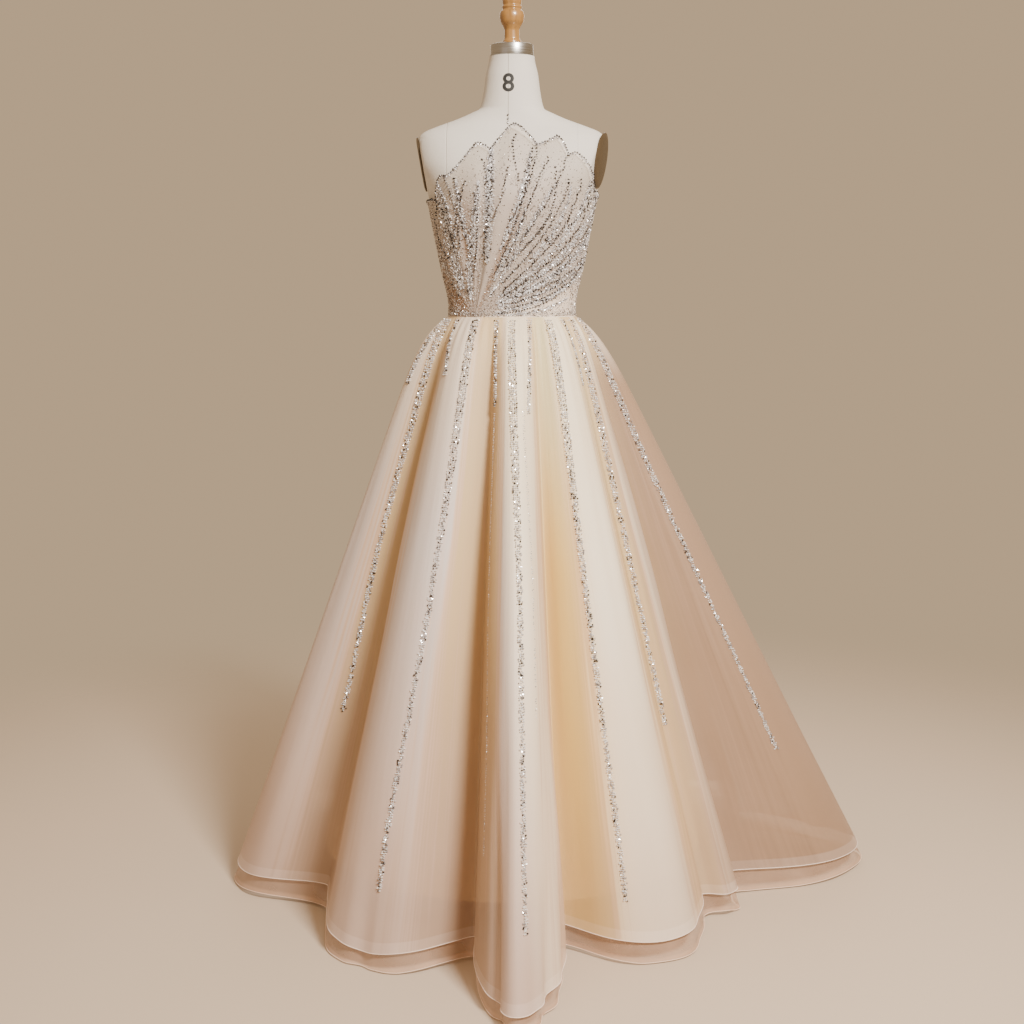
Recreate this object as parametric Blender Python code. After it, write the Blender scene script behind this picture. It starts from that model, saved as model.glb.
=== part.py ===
"""Strapless evening gown on a limbless dress form.

Metres, +Z up. The floor is z = 0, the origin is on it under the form's axis, and the gown faces -Y.
Angles round the body are in degrees from the front, growing towards +X.
The cloth is built as thin walls over smooth tables: the form's sections, the neckline and the skirt's folds.
"""

import math
from collections import namedtuple

import bmesh
import bpy
from mathutils import Matrix, Vector

# Heights above the floor
WAIST = 1.158
FORM_BOTTOM = 0.860
NECK_TOP = 1.6655
BASE_TOP = 0.022
UNDERLAYER_CLEAR = 0.004
LINING_HEM = 0.075

# Cloth and the gaps that keep neighbours apart
SEAM_GAP = 0.0003
BODICE_WALL = 0.0020
BODICE_GAP = 0.0009
OVERLAY_WALL = 0.0014
UNDERLAYER_WALL = 0.0012
LINING_WALL = 0.0012

# What the skirt's layers stand out from the form at the waist, measured to the outside of the overlay
SKIRT_STACK = 0.0048
UNDERLAYER_INSET = 0.0065
INSET_SETTLES_AT = 0.35
LINING_HEM_RADIUS = 0.394
LINING_PUFF = 0.020
LINING_HIP_PUFF = 0.035

# Form and stand
TORSO_SIDES = 32
FORM_WAIST = 1.160
HIP_ROWS = (0.860, 0.900, 0.960, 1.020, 1.070, 1.110, 1.140)
BUST_STEP = 0.020
BUST_ROWS = 18
SHOULDER_ROWS = (1.512, 1.520, 1.530, 1.545, 1.557, 1.565, 1.592, 1.631)
ROUND_STEPS = 28
BASE_RADIUS = 0.190
POLE_RADIUS = 0.0165
CAP_RADIUS = 0.0430
CAP_HEIGHT = 0.0230
ARM_PLATE_HALF_HEIGHT = 0.0540
ARM_PLATE_HALF_DEPTH = 0.0360
ARM_PLATE_THICKNESS = 0.0050
ARM_PLATE_CROWN = 0.0022
ARM_PLATE_BORDER = 0.0090
ARM_PLATE_SEGMENTS = 24
ARMHOLE_FOOT = 1.400
ARMHOLE_FADE = 0.9

# The armholes' flat planes by side: the middle of each plate, how much the plane leans out with height and
# how much it faces forward. The form stands turned a little towards -X, so the +X one shows more of its face.
Armhole = namedtuple("Armhole", "x y z lean turn")
ARMHOLES = {
    1: Armhole(0.1743, -0.0250, 1.4640, 0.15, 0.36),
    -1: Armhole(0.1775, 0.0, 1.4580, 0.17, 0.03),
}

Section = namedtuple("Section", "z half_width front back squareness")
FORM_SECTIONS = (
    Section(0.860, 0.1500, 0.0950, 0.1100, 2.1),
    Section(0.900, 0.1660, 0.1050, 0.1240, 2.1),
    Section(0.960, 0.1720, 0.1100, 0.1280, 2.1),
    Section(1.020, 0.1620, 0.1060, 0.1200, 2.1),
    Section(1.080, 0.1470, 0.1000, 0.1080, 2.1),
    Section(1.120, 0.1310, 0.0970, 0.0980, 2.1),
    Section(1.160, 0.1235, 0.0960, 0.0940, 2.1),
    Section(1.200, 0.1270, 0.0990, 0.0950, 2.1),
    Section(1.240, 0.1365, 0.1060, 0.0970, 2.1),
    Section(1.290, 0.1465, 0.1180, 0.1010, 2.2),
    Section(1.340, 0.1560, 0.1310, 0.1040, 2.2),
    Section(1.380, 0.1630, 0.1360, 0.1050, 2.2),
    Section(1.420, 0.1750, 0.1300, 0.1040, 2.3),
    Section(1.460, 0.1870, 0.1140, 0.1000, 2.4),
    Section(1.490, 0.1885, 0.0980, 0.0920, 2.3),
    Section(1.510, 0.1840, 0.0820, 0.0830, 2.2),
    Section(1.520, 0.1740, 0.0720, 0.0760, 2.1),
    Section(1.530, 0.1500, 0.0640, 0.0700, 2.1),
    Section(1.545, 0.1080, 0.0590, 0.0650, 2.0),
    Section(1.557, 0.0800, 0.0570, 0.0620, 2.0),
    Section(1.565, 0.0640, 0.0560, 0.0600, 2.0),
    Section(1.592, 0.0570, 0.0530, 0.0550, 2.0),
    Section(1.631, 0.0515, 0.0490, 0.0510, 2.0),
    Section(1.6655, 0.0445, 0.0440, 0.0445, 2.0),
)

# The bodice's top edge: notches between the petals, and the petals' tips
Notch = namedtuple("Notch", "degrees z")
Tip = namedtuple("Tip", "degrees z start_bulge end_bulge")
NOTCHES = (
    Notch(-90, 1.380),
    Notch(-60, 1.384),
    Notch(-43, 1.428),
    Notch(-9.5, 1.476),
    Notch(12, 1.485),
    Notch(30.5, 1.466),
    Notch(72, 1.398),
    Notch(90, 1.390),
)
TIPS = (
    Tip(-65, 1.388, 1.0, 1.0),
    Tip(-44, 1.430, 1.0, 1.0),
    Tip(-17.5, 1.487, 0.0, 1.0),
    Tip(1.2, 1.521, 0.7, 0.7),
    Tip(25, 1.500, 0.5, 0.8),
    Tip(37, 1.471, 1.0, 0.5),
    Tip(74, 1.399, 1.0, 1.0),
)
HOLLOW_SIDE = 1.75
BACK_EDGE_LOW = 1.345
BODICE_ROWS = (0.0, 0.08, 0.18, 0.28, 0.38, 0.48, 0.58, 0.68, 0.77, 0.85, 0.92, 1.0)
SIDE_EDGE = 1.385

# Folds of the bodice fan, in the front view: each leaves the gather point at a lean from upright
GATHER_X = -0.072
Fold = namedtuple("Fold", "lean_degrees half_spread height")
FAN_FOLDS = (
    Fold(-24, 7, 0.0030),
    Fold(-11, 6, 0.0030),
    Fold(1, 6, 0.0028),
    Fold(14, 7, 0.0070),
    Fold(31, 7, 0.0032),
    Fold(47, 8, 0.0032),
    Fold(63, 8, 0.0026),
)
PETAL_LIFT = 0.0035

# The skirt's folds all round, in turn a valley and a ridge; the last row is the first again
Flute = namedtuple("Flute", "waist_degrees hem_degrees hem_radius hem_height puff breadth")
FLUTES = (
    Flute(-104, -102, 0.470, 0.050, 0.05, 1.0),
    Flute(-83, -80, 0.575, 0.040, 0.10, 1.2),
    Flute(-62, -56, 0.435, 0.050, 0.05, 1.0),
    Flute(-39, -27, 0.590, 0.036, 0.08, 1.4),
    Flute(-15, -8, 0.480, 0.045, 0.05, 1.0),
    Flute(1.5, 0.5, 0.765, 0.030, 0.06, 2.2),
    Flute(18, 11.5, 0.430, 0.048, 0.05, 1.0),
    Flute(36, 31, 0.560, 0.040, 0.06, 1.7),
    Flute(51, 52, 0.465, 0.048, 0.05, 1.0),
    Flute(66, 60, 0.505, 0.040, 0.06, 1.2),
    Flute(78, 69, 0.470, 0.050, 0.05, 1.0),
    Flute(92, 93, 0.740, 0.038, 0.06, 1.6),
    Flute(110, 112, 0.530, 0.050, 0.05, 1.0),
    Flute(128, 129, 0.660, 0.040, 0.06, 1.3),
    Flute(146, 146, 0.500, 0.050, 0.05, 1.0),
    Flute(163, 163, 0.620, 0.040, 0.06, 1.2),
    Flute(181, 181, 0.490, 0.050, 0.05, 1.0),
    Flute(199, 199, 0.610, 0.040, 0.06, 1.2),
    Flute(217, 217, 0.480, 0.050, 0.05, 1.0),
    Flute(236, 237, 0.600, 0.040, 0.07, 1.2),
    Flute(256, 258, 0.470, 0.050, 0.05, 1.0),
)
STEPS_PER_FOLD = 4
OVERLAY_ROWS = (0.0, 0.03, 0.08, 0.16, 0.28, 0.42, 0.58, 0.74, 0.88, 1.0)
UNDERLAYER_ROWS = (0.0, 0.03, 0.08, 0.28, 0.58, 0.88, 1.0)
LINING_ROWS = (0.0, 0.06, 0.16, 0.36, 0.66, 1.0)
GORES = 10
UNDERLAYER_PANELS = 5
LINING_PANELS = 4

Look = namedtuple("Look", "colour roughness metallic")
LOOKS = {
    "form_cloth": Look((0.86, 0.83, 0.77), 0.85, 0.0),
    "cap_steel": Look((0.55, 0.53, 0.50), 0.28, 1.0),
    "turned_wood": Look((0.66, 0.40, 0.16), 0.35, 0.0),
    "plate_brown": Look((0.22, 0.12, 0.06), 0.20, 0.0),
    "stand_metal": Look((0.12, 0.11, 0.11), 0.45, 0.6),
    "bodice_organza": Look((0.80, 0.72, 0.66), 0.55, 0.0),
    "overlay_organza": Look((0.86, 0.79, 0.74), 0.50, 0.0),
    "underlayer_net": Look((0.88, 0.70, 0.58), 0.60, 0.0),
    "lining_satin": Look((0.88, 0.72, 0.45), 0.35, 0.0),
}


def clear_scene():
    for thing in list(bpy.data.objects):
        bpy.data.objects.remove(thing)


def material(slot):
    """The named material, made the first time that it is asked for."""
    made = bpy.data.materials.get(slot)
    if made is None:
        made = bpy.data.materials.new(slot)
        made.use_nodes = True
        look = LOOKS[slot]
        shader = made.node_tree.nodes["Principled BSDF"]
        shader.inputs["Base Color"].default_value = (*look.colour, 1.0)
        shader.inputs["Roughness"].default_value = look.roughness
        shader.inputs["Metallic"].default_value = look.metallic
    return made


def add_object(name, shape, slot, sharp_degrees=40):
    """Turns a bmesh into an object, shaded smooth but for its sharp edges."""
    shape.normal_update()
    bmesh.ops.recalc_face_normals(shape, faces=shape.faces)
    mesh = bpy.data.meshes.new(name)
    shape.to_mesh(mesh)
    shape.free()
    mesh.shade_smooth()
    mesh.set_sharp_from_angle(angle=math.radians(sharp_degrees))
    mesh.materials.append(material(slot))
    thing = bpy.data.objects.new(name, mesh)
    bpy.context.scene.collection.objects.link(thing)
    return thing


def blend(start, end, share):
    return start + (end - start) * share


def smooth_at(places, values, place):
    """A smooth curve through a table's values, with no overshoot where they level out."""
    if place <= places[0]:
        return values[0]
    if place >= places[-1]:
        return values[-1]
    upper = next(i for i, at in enumerate(places) if at > place)
    lower = upper - 1

    def slope(i):
        if i in (0, len(places) - 1):
            return 0.0 if i else (values[1] - values[0]) / (places[1] - places[0])
        before = (values[i] - values[i - 1]) / (places[i] - places[i - 1])
        after = (values[i + 1] - values[i]) / (places[i + 1] - places[i])
        return 0.0 if before * after <= 0 else 2 * before * after / (before + after)

    width = places[upper] - places[lower]
    f = (place - places[lower]) / width
    return (
        values[lower] * (1 + 2 * f) * (1 - f) ** 2
        + slope(lower) * width * f * (1 - f) ** 2
        + values[upper] * f * f * (3 - 2 * f)
        + slope(upper) * width * f * f * (f - 1)
    )


def direction(degrees):
    """The level direction at an angle from the front."""
    angle = math.radians(degrees)
    return Vector((math.sin(angle), -math.cos(angle), 0.0))


# The dress form

SECTION_HEIGHTS = [section.z for section in FORM_SECTIONS]


def form_size(column, z):
    return smooth_at(SECTION_HEIGHTS, [getattr(section, column) for section in FORM_SECTIONS], z)


def armhole_x(side, y, z):
    """How far out a side's flat plane stands. Below its foot it leaves the form."""
    armhole = ARMHOLES[side]
    fade = max(0.0, ARMHOLE_FOOT - z) * ARMHOLE_FADE
    return armhole.x + (z - armhole.z) * armhole.lean + (y - armhole.y) * armhole.turn + fade


def form_point(degrees, z):
    """A point on the form: an oval section, cut flat at the armholes."""
    aim = direction(degrees)
    power = 2 / form_size("squareness", z)
    depth = form_size("front" if aim.y < 0 else "back", z)
    x = math.copysign(abs(aim.x) ** power, aim.x) * form_size("half_width", z)
    y = math.copysign(abs(aim.y) ** power, aim.y) * depth
    return Vector((max(-armhole_x(-1, y, z), min(armhole_x(1, y, z), x)), y, z))


def form_normal(degrees, z):
    """The form's outward direction at a point, from its neighbours."""
    step = 0.5
    rise = 0.002
    across = form_point(degrees + step, z) - form_point(degrees - step, z)
    upward = form_point(degrees, z + rise) - form_point(degrees, z - rise)
    return across.cross(upward).normalized()


def add_ring(shape, sides, place):
    """A closed ring of edges whose points are put in place by their angle."""
    made = bmesh.ops.create_circle(shape, cap_ends=False, segments=sides, radius=1.0)
    for vertex in made["verts"]:
        vertex.co = place(math.degrees(math.atan2(vertex.co.x, -vertex.co.y)))
    return list({edge for vertex in made["verts"] for edge in vertex.link_edges})


def bridge_rings(shape, rings):
    for lower, upper in zip(rings, rings[1:]):
        bmesh.ops.bridge_loops(shape, edges=lower + upper)
    bmesh.ops.contextual_create(shape, geom=rings[0])
    bmesh.ops.contextual_create(shape, geom=rings[-1])


def add_torso():
    """Hips to neck in one smooth body, sections close together where the bodice lies on it."""
    bust_rows = [FORM_WAIST + BUST_STEP * i for i in range(BUST_ROWS)]
    heights = [*HIP_ROWS, *bust_rows, *SHOULDER_ROWS, NECK_TOP]
    shape = bmesh.new()
    rings = []
    for z in heights:
        rings.append(add_ring(shape, TORSO_SIDES, lambda degrees, z=z: form_point(degrees, z)))
    bridge_rings(shape, rings)
    add_object("form_torso", shape, "form_cloth", sharp_degrees=50)


def add_turned(name, profile, slot):
    """Spins a profile of (radius, height) pairs round the upright axis. Both ends are on the axis."""
    shape = bmesh.new()
    points = [shape.verts.new((radius, 0.0, z)) for radius, z in profile]
    edges = [shape.edges.new(pair) for pair in zip(points, points[1:])]
    bmesh.ops.spin(
        shape,
        geom=points + edges,
        axis=(0, 0, 1),
        cent=(0, 0, 0),
        angle=2 * math.pi,
        steps=ROUND_STEPS,
        use_merge=True,
    )
    bmesh.ops.remove_doubles(shape, verts=shape.verts, dist=0.00005)
    return add_object(name, shape, slot)


def add_cap_and_finial():
    """The steel cap on the neck and the turned finial above it, whose hidden top ends in a plain knob."""
    low = NECK_TOP + SEAM_GAP
    top = low + CAP_HEIGHT
    edge = 0.0015
    add_turned(
        "neck_cap",
        (
            (0.0, low),
            (CAP_RADIUS, low),
            (CAP_RADIUS, top - edge),
            (CAP_RADIUS - edge, top),
            (0.0, top),
        ),
        "cap_steel",
    )
    foot = top + SEAM_GAP
    profile = (
        (0.0, 0.000),
        (0.0185, 0.000),
        (0.0185, 0.006),
        (0.0150, 0.012),
        (0.0148, 0.026),
        (0.0175, 0.034),
        (0.0230, 0.044),
        (0.0243, 0.053),
        (0.0225, 0.062),
        (0.0185, 0.067),
        (0.0200, 0.071),
        (0.0178, 0.075),
        (0.0190, 0.082),
        (0.0180, 0.092),
        (0.0120, 0.101),
        (0.0, 0.105),
    )
    add_turned("finial", [(radius, foot + rise) for radius, rise in profile], "turned_wood")


def add_arm_plate(name, side):
    """An oval plate with a rounded face, set just clear of the armhole's flat."""
    shape = bmesh.new()
    bmesh.ops.create_cone(
        shape,
        cap_ends=True,
        segments=ARM_PLATE_SEGMENTS,
        radius1=1.0,
        radius2=1.0,
        depth=1.0,
    )
    outer = [vertex for vertex in shape.verts if vertex.co.z > 0]
    outer_face = next(face for face in shape.faces if all(vertex in outer for vertex in face.verts))
    for vertex in shape.verts:
        vertex.co.x *= ARM_PLATE_HALF_HEIGHT
        vertex.co.y *= ARM_PLATE_HALF_DEPTH
        vertex.co.z = 0.0 if vertex.co.z < 0 else ARM_PLATE_THICKNESS - ARM_PLATE_CROWN
    bmesh.ops.inset_region(
        shape, faces=[outer_face], thickness=ARM_PLATE_BORDER, depth=ARM_PLATE_CROWN, use_even_offset=True
    )
    armhole = ARMHOLES[side]
    out = Vector((1.0, -armhole.turn, -armhole.lean)).normalized()
    upward = Vector((armhole.lean, 0.0, 1.0)).normalized()
    shape.transform(Matrix((upward, out.cross(upward), out)).transposed().to_4x4())
    shape.transform(Matrix.Translation(Vector((armhole.x, armhole.y, armhole.z)) + out * SEAM_GAP))
    if side < 0:
        shape.transform(Matrix.Scale(-1, 4, Vector((1, 0, 0))))
    add_object(name, shape, "plate_brown")


def add_stand():
    """A plain fixed pole under the torso and a round flat base."""
    add_turned(
        "stand_pole",
        (
            (0.0, BASE_TOP + SEAM_GAP),
            (POLE_RADIUS, BASE_TOP + SEAM_GAP),
            (POLE_RADIUS, FORM_BOTTOM - SEAM_GAP),
            (0.0, FORM_BOTTOM - SEAM_GAP),
        ),
        "stand_metal",
    )
    rim = 0.006
    add_turned(
        "stand_base",
        (
            (0.0, 0.0),
            (BASE_RADIUS, 0.0),
            (BASE_RADIUS, BASE_TOP - rim),
            (BASE_RADIUS - rim, BASE_TOP),
            (0.0, BASE_TOP),
        ),
        "stand_metal",
    )


# Cloth walls

def add_cloth(name, columns, rows, inner, outer, slot):
    """A closed wall: a grid, extruded, its two sides put in place by functions of column and row."""
    shape = bmesh.new()
    bmesh.ops.create_grid(shape, x_segments=columns, y_segments=rows, size=0.5)
    made = bmesh.ops.extrude_face_region(shape, geom=shape.faces[:], use_keep_orig=True)
    moved = {part for part in made["geom"] if isinstance(part, bmesh.types.BMVert)}
    for vertex in shape.verts:
        column = round((vertex.co.x + 0.5) * columns)
        row = round((vertex.co.y + 0.5) * rows)
        vertex.co = outer(column, row) if vertex in moved else inner(column, row)
    return add_object(name, shape, slot, sharp_degrees=60)


# The bodice

def petal_edge(degrees):
    """Height of the front's top edge: each petal rises from its notches to its tip, its sides round or hollow."""
    for start, tip, end in zip(NOTCHES, TIPS, NOTCHES[1:]):
        if start.degrees <= degrees <= end.degrees:
            before = degrees < tip.degrees
            notch = start if before else end
            bulge = tip.start_bulge if before else tip.end_bulge
            f = (degrees - notch.degrees) / (tip.degrees - notch.degrees)
            share = blend(f**HOLLOW_SIDE, math.sin(f * math.pi / 2), bulge)
            return blend(notch.z, tip.z, share)
    return SIDE_EDGE


def back_edge(degrees):
    """Height of the back's plain top edge, lowest at the centre back."""
    share = (abs(degrees) - 90) / 90
    return blend(SIDE_EDGE, BACK_EDGE_LOW, math.sin(share * math.pi / 2) ** 2)


def fan_relief(point):
    """How far the fan's folds stand out at a place on the front."""
    rise = point.z - WAIST
    lean = math.degrees(math.atan2(point.x - GATHER_X, rise + 0.004))
    reach = min(1.0, math.hypot(point.x - GATHER_X, rise) / 0.10)
    total = 0.0
    for fold in FAN_FOLDS:
        away = (lean - fold.lean_degrees) / fold.half_spread
        total += fold.height * math.exp(-away * away)
    return total * reach


def bodice_point(degrees, z, top, depth, front):
    """A point of the bodice, a depth outside the form, with the front's folds added."""
    on_form = form_point(degrees, z)
    near_side = max(0.0, math.cos(math.radians(degrees)))
    rise = (z - WAIST) / (top - WAIST)
    settle = 0.0016 * max(0.0, 1 - (z - WAIST) / 0.02)
    out = BODICE_GAP + settle + depth
    if front:
        out += fan_relief(on_form) * min(1.0, near_side * 3)
        out += PETAL_LIFT * max(0.0, rise - 0.7) / 0.3 * near_side
    return on_form + form_normal(degrees, z) * out


def add_bodice_piece(name, start, end, columns, edge, front):
    low = WAIST + 2 * SEAM_GAP
    seam = math.degrees(SEAM_GAP / 2 / 0.125)

    def place(depth, column, row):
        degrees = blend(start, end, column / columns)
        if column == 0:
            degrees += seam
        if column == columns:
            degrees -= seam
        top = edge(degrees)
        z = blend(low, top, BODICE_ROWS[row])
        point = bodice_point(degrees, z, top, depth, front)
        if row == 0:
            point.z = low
        return point

    add_cloth(
        name,
        columns,
        len(BODICE_ROWS) - 1,
        lambda column, row: place(0.0, column, row),
        lambda column, row: place(BODICE_WALL, column, row),
        "bodice_organza",
    )


def add_bodice():
    add_bodice_piece("bodice_front", -90, 90, 40, petal_edge, True)
    add_bodice_piece("bodice_back_right", 90, 180, 14, back_edge, False)
    add_bodice_piece("bodice_back_left", -180, -90, 14, back_edge, False)


# The skirt

def flare(t, puff):
    """How far out from waist to hem the cloth is at a share of its drop: it leaves the waist in a dome."""
    return t + puff * (1 - math.exp(-t / 0.035)) * (1 - t)


def fold_values(place):
    """The skirt's table read between its rows: angles run evenly, broad ridges rise fast from the valley."""
    row = min(int(place), len(FLUTES) - 2)
    share = place - row
    start = FLUTES[row]
    end = FLUTES[row + 1]
    rising = row % 2 == 0
    breadth = end.breadth if rising else start.breadth
    climb = (1 - math.cos(math.pi * (share if rising else 1 - share))) / 2
    climb **= 1 / breadth
    eased = climb if rising else 1 - climb
    return Flute(
        blend(start.waist_degrees, end.waist_degrees, share),
        blend(start.hem_degrees, end.hem_degrees, share),
        blend(start.hem_radius, end.hem_radius, eased),
        blend(start.hem_height, end.hem_height, eased),
        blend(start.puff, end.puff, eased),
        breadth,
    )


def waist_point(degrees, out):
    """A point round the waist, a distance outside the form."""
    on_form = form_point(degrees, FORM_WAIST)
    across = form_point(degrees + 0.5, FORM_WAIST) - form_point(degrees - 0.5, FORM_WAIST)
    outward = Vector((across.y, -across.x, 0.0)).normalized()
    on_form.z = WAIST
    return on_form + outward * out


def overlay_point(place, t):
    """A point on the overlay's outside; t is 0 at the waist, 1 at the overlay's hem."""
    fold = fold_values(place % (len(FLUTES) - 1))
    start = waist_point(fold.waist_degrees, SKIRT_STACK)
    end = direction(fold.hem_degrees) * fold.hem_radius
    point = start.lerp(end, flare(t, fold.puff)) if t <= 1 else end + (end - start) * (t - 1)
    point.z = blend(WAIST, fold.hem_height, t)
    return point


def across_and_normal(surface, place, t):
    """The unit direction across the folds and the outward normal of a skirt surface."""
    across = surface(place + 0.02, t) - surface(place - 0.02, t)
    down = surface(place, t + 0.004) - surface(place, max(0.0, t - 0.004))
    return across.normalized(), down.cross(across).normalized()


def lining_point(place, t):
    """A point on the lining's outside: a plain flared tube inside the folds."""
    fold = fold_values(place % (len(FLUTES) - 1))
    start = waist_point(fold.waist_degrees, LINING_WALL + SEAM_GAP)
    end = direction(fold.hem_degrees) * LINING_HEM_RADIUS
    puff = LINING_PUFF + LINING_HIP_PUFF * math.sin(math.radians(fold.waist_degrees)) ** 8
    point = start.lerp(end, flare(t, puff))
    point.z = blend(WAIST, LINING_HEM, t)
    return point


def underlayer_drop(place):
    """The share of the overlay's drop at which the underlayer ends, just above the floor."""
    fold = fold_values(place % (len(FLUTES) - 1))
    return (WAIST - UNDERLAYER_CLEAR) / (WAIST - fold.hem_height)


def add_skirt_panels(label, count, rows, surface, wall, inset, reach, slot):
    """Panels of one layer, side by side, each a wall between two offsets of its surface."""
    folds = (len(FLUTES) - 1) // count
    columns = folds * STEPS_PER_FOLD
    for number in range(count):

        def spot(offset, column, row, number=number):
            place = number * folds + column / STEPS_PER_FOLD
            t = rows[row] if row < len(rows) - 1 else reach(place)
            across, normal = across_and_normal(surface, place, t)
            point = surface(place, t) - normal * (inset(t) + offset)
            if column == 0:
                point += across * SEAM_GAP * 0.6
            if column == columns:
                point -= across * SEAM_GAP * 0.6
            return point

        add_cloth(
            f"{label}_{number + 1:02d}",
            columns,
            len(rows) - 1,
            lambda column, row, spot=spot: spot(wall, column, row),
            lambda column, row, spot=spot: spot(0.0, column, row),
            slot,
        )


def underlayer_inset(t):
    """How far inside the overlay the underlayer hangs: close at the waist, looser below."""
    close = OVERLAY_WALL + SEAM_GAP
    return blend(close, UNDERLAYER_INSET, min(1.0, t / INSET_SETTLES_AT))


def add_skirt():
    add_skirt_panels(
        "skirt_overlay",
        GORES,
        OVERLAY_ROWS,
        overlay_point,
        OVERLAY_WALL,
        lambda t: 0.0,
        lambda place: 1.0,
        "overlay_organza",
    )
    add_skirt_panels(
        "skirt_underlayer",
        UNDERLAYER_PANELS,
        UNDERLAYER_ROWS,
        overlay_point,
        UNDERLAYER_WALL,
        underlayer_inset,
        underlayer_drop,
        "underlayer_net",
    )
    add_skirt_panels(
        "skirt_lining",
        LINING_PANELS,
        LINING_ROWS,
        lining_point,
        LINING_WALL,
        lambda t: 0.0,
        lambda place: 1.0,
        "lining_satin",
    )


def main():
    clear_scene()
    add_torso()
    add_cap_and_finial()
    add_arm_plate("arm_plate_right", 1)
    add_arm_plate("arm_plate_left", -1)
    add_stand()
    add_bodice()
    add_skirt()


main()
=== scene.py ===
"""Strapless beaded gown on a limbless dress form: the cloth, beads, finishes, light and camera.

Metres, +Z up, the gown faces -Y. The cloth follows the same tables as the solids, at a finer step.
"""

import math
from collections import namedtuple

import bmesh
import bpy
import numpy as np
from mathutils import Matrix, Vector


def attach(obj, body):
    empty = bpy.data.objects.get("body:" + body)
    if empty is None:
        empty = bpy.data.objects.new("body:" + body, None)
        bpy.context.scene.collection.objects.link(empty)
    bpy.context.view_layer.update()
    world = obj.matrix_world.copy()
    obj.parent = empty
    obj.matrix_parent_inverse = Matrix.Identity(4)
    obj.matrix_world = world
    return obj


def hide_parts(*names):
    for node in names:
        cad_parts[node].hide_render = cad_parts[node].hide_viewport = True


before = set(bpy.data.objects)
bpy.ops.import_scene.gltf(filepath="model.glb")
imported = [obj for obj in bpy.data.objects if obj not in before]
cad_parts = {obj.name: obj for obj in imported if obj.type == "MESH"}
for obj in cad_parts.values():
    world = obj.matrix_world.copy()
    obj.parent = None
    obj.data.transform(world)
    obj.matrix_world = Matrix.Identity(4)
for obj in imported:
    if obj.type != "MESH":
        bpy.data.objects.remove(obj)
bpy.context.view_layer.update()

bl_info = {
    "name": "Strapless Gown on a Dress Form",
    "version": (1, 0, 0),
    "blender": (4, 5, 0),
    "location": "3D View > Sidebar > Gown",
    "description": "Builds a beaded evening gown in cloth layers on a limbless dress form",
    "category": "Object",
}

# Heights
WAIST = 1.158
FORM_WAIST = 1.160
LINING_HEM = 0.075
UNDERLAYER_CLEAR = 0.004
NECK_TOP = 1.6655
SEAM_GAP = 0.0003
NET_LOWEST = 0.0034
HEM_ROLL_LOWEST = 0.0035

# Rolled edges
TOP_ROLL_RADIUS = 0.0009
SEAM_ROLL_RADIUS = 0.0013
SEAM_ROLL_OUT = 0.0036
OVERLAY_HEM_RADIUS = 0.0008
NET_HEM_RADIUS = 0.0007

# Distances of the layers
SKIRT_STACK = 0.0048
UNDERLAYER_INSET = 0.0065
UNDERLAYER_CLOSE = 0.0017
INSET_SETTLES_AT = 0.35
LINING_HEM_RADIUS = 0.394
LINING_PUFF = 0.020
LINING_HIP_PUFF = 0.035
LINING_STACK = 0.0015
BODICE_OUT = 0.0029
WAIST_TURN_OUT = 0.0016
WAIST_TURN_HEIGHT = 0.02

# Small waves of the cloth: how deep they are and how far they reach
PLEAT_DEPTH = 0.0007
PLEAT_REACH = 0.12
GATHER_DEPTH = 0.0012
GATHER_REACH = 0.07
RIPPLE_DEPTH = 0.0035
NET_EDGE_WANDER = 0.0035

# Form fittings
CAP_RADIUS = 0.0430
CAP_HEIGHT = 0.0230
ARM_PLATE_HALF_HEIGHT = 0.0540
ARM_PLATE_HALF_DEPTH = 0.0360
ARM_PLATE_THICKNESS = 0.0050
ARM_PLATE_CROWN = 0.0022
ARM_PLATE_BORDER = 0.0090
ARMHOLE_FOOT = 1.400
ARMHOLE_FADE = 0.9
ROUND_STEPS = 96
NUMBER_SIZE = 0.048
NUMBER_BOLDNESS = 0.0010
NUMBER_X = -0.0070
NUMBER_Z = 1.6088
NUMBER_OUT = 0.0003

# The armholes' flat planes by side: the middle of each plate, the lean with height and the turn to the front
Armhole = namedtuple("Armhole", "x y z lean turn")
ARMHOLES = {
    1: Armhole(0.1743, -0.0250, 1.4640, 0.15, 0.36),
    -1: Armhole(0.1775, 0.0, 1.4580, 0.17, 0.03),
}

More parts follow.
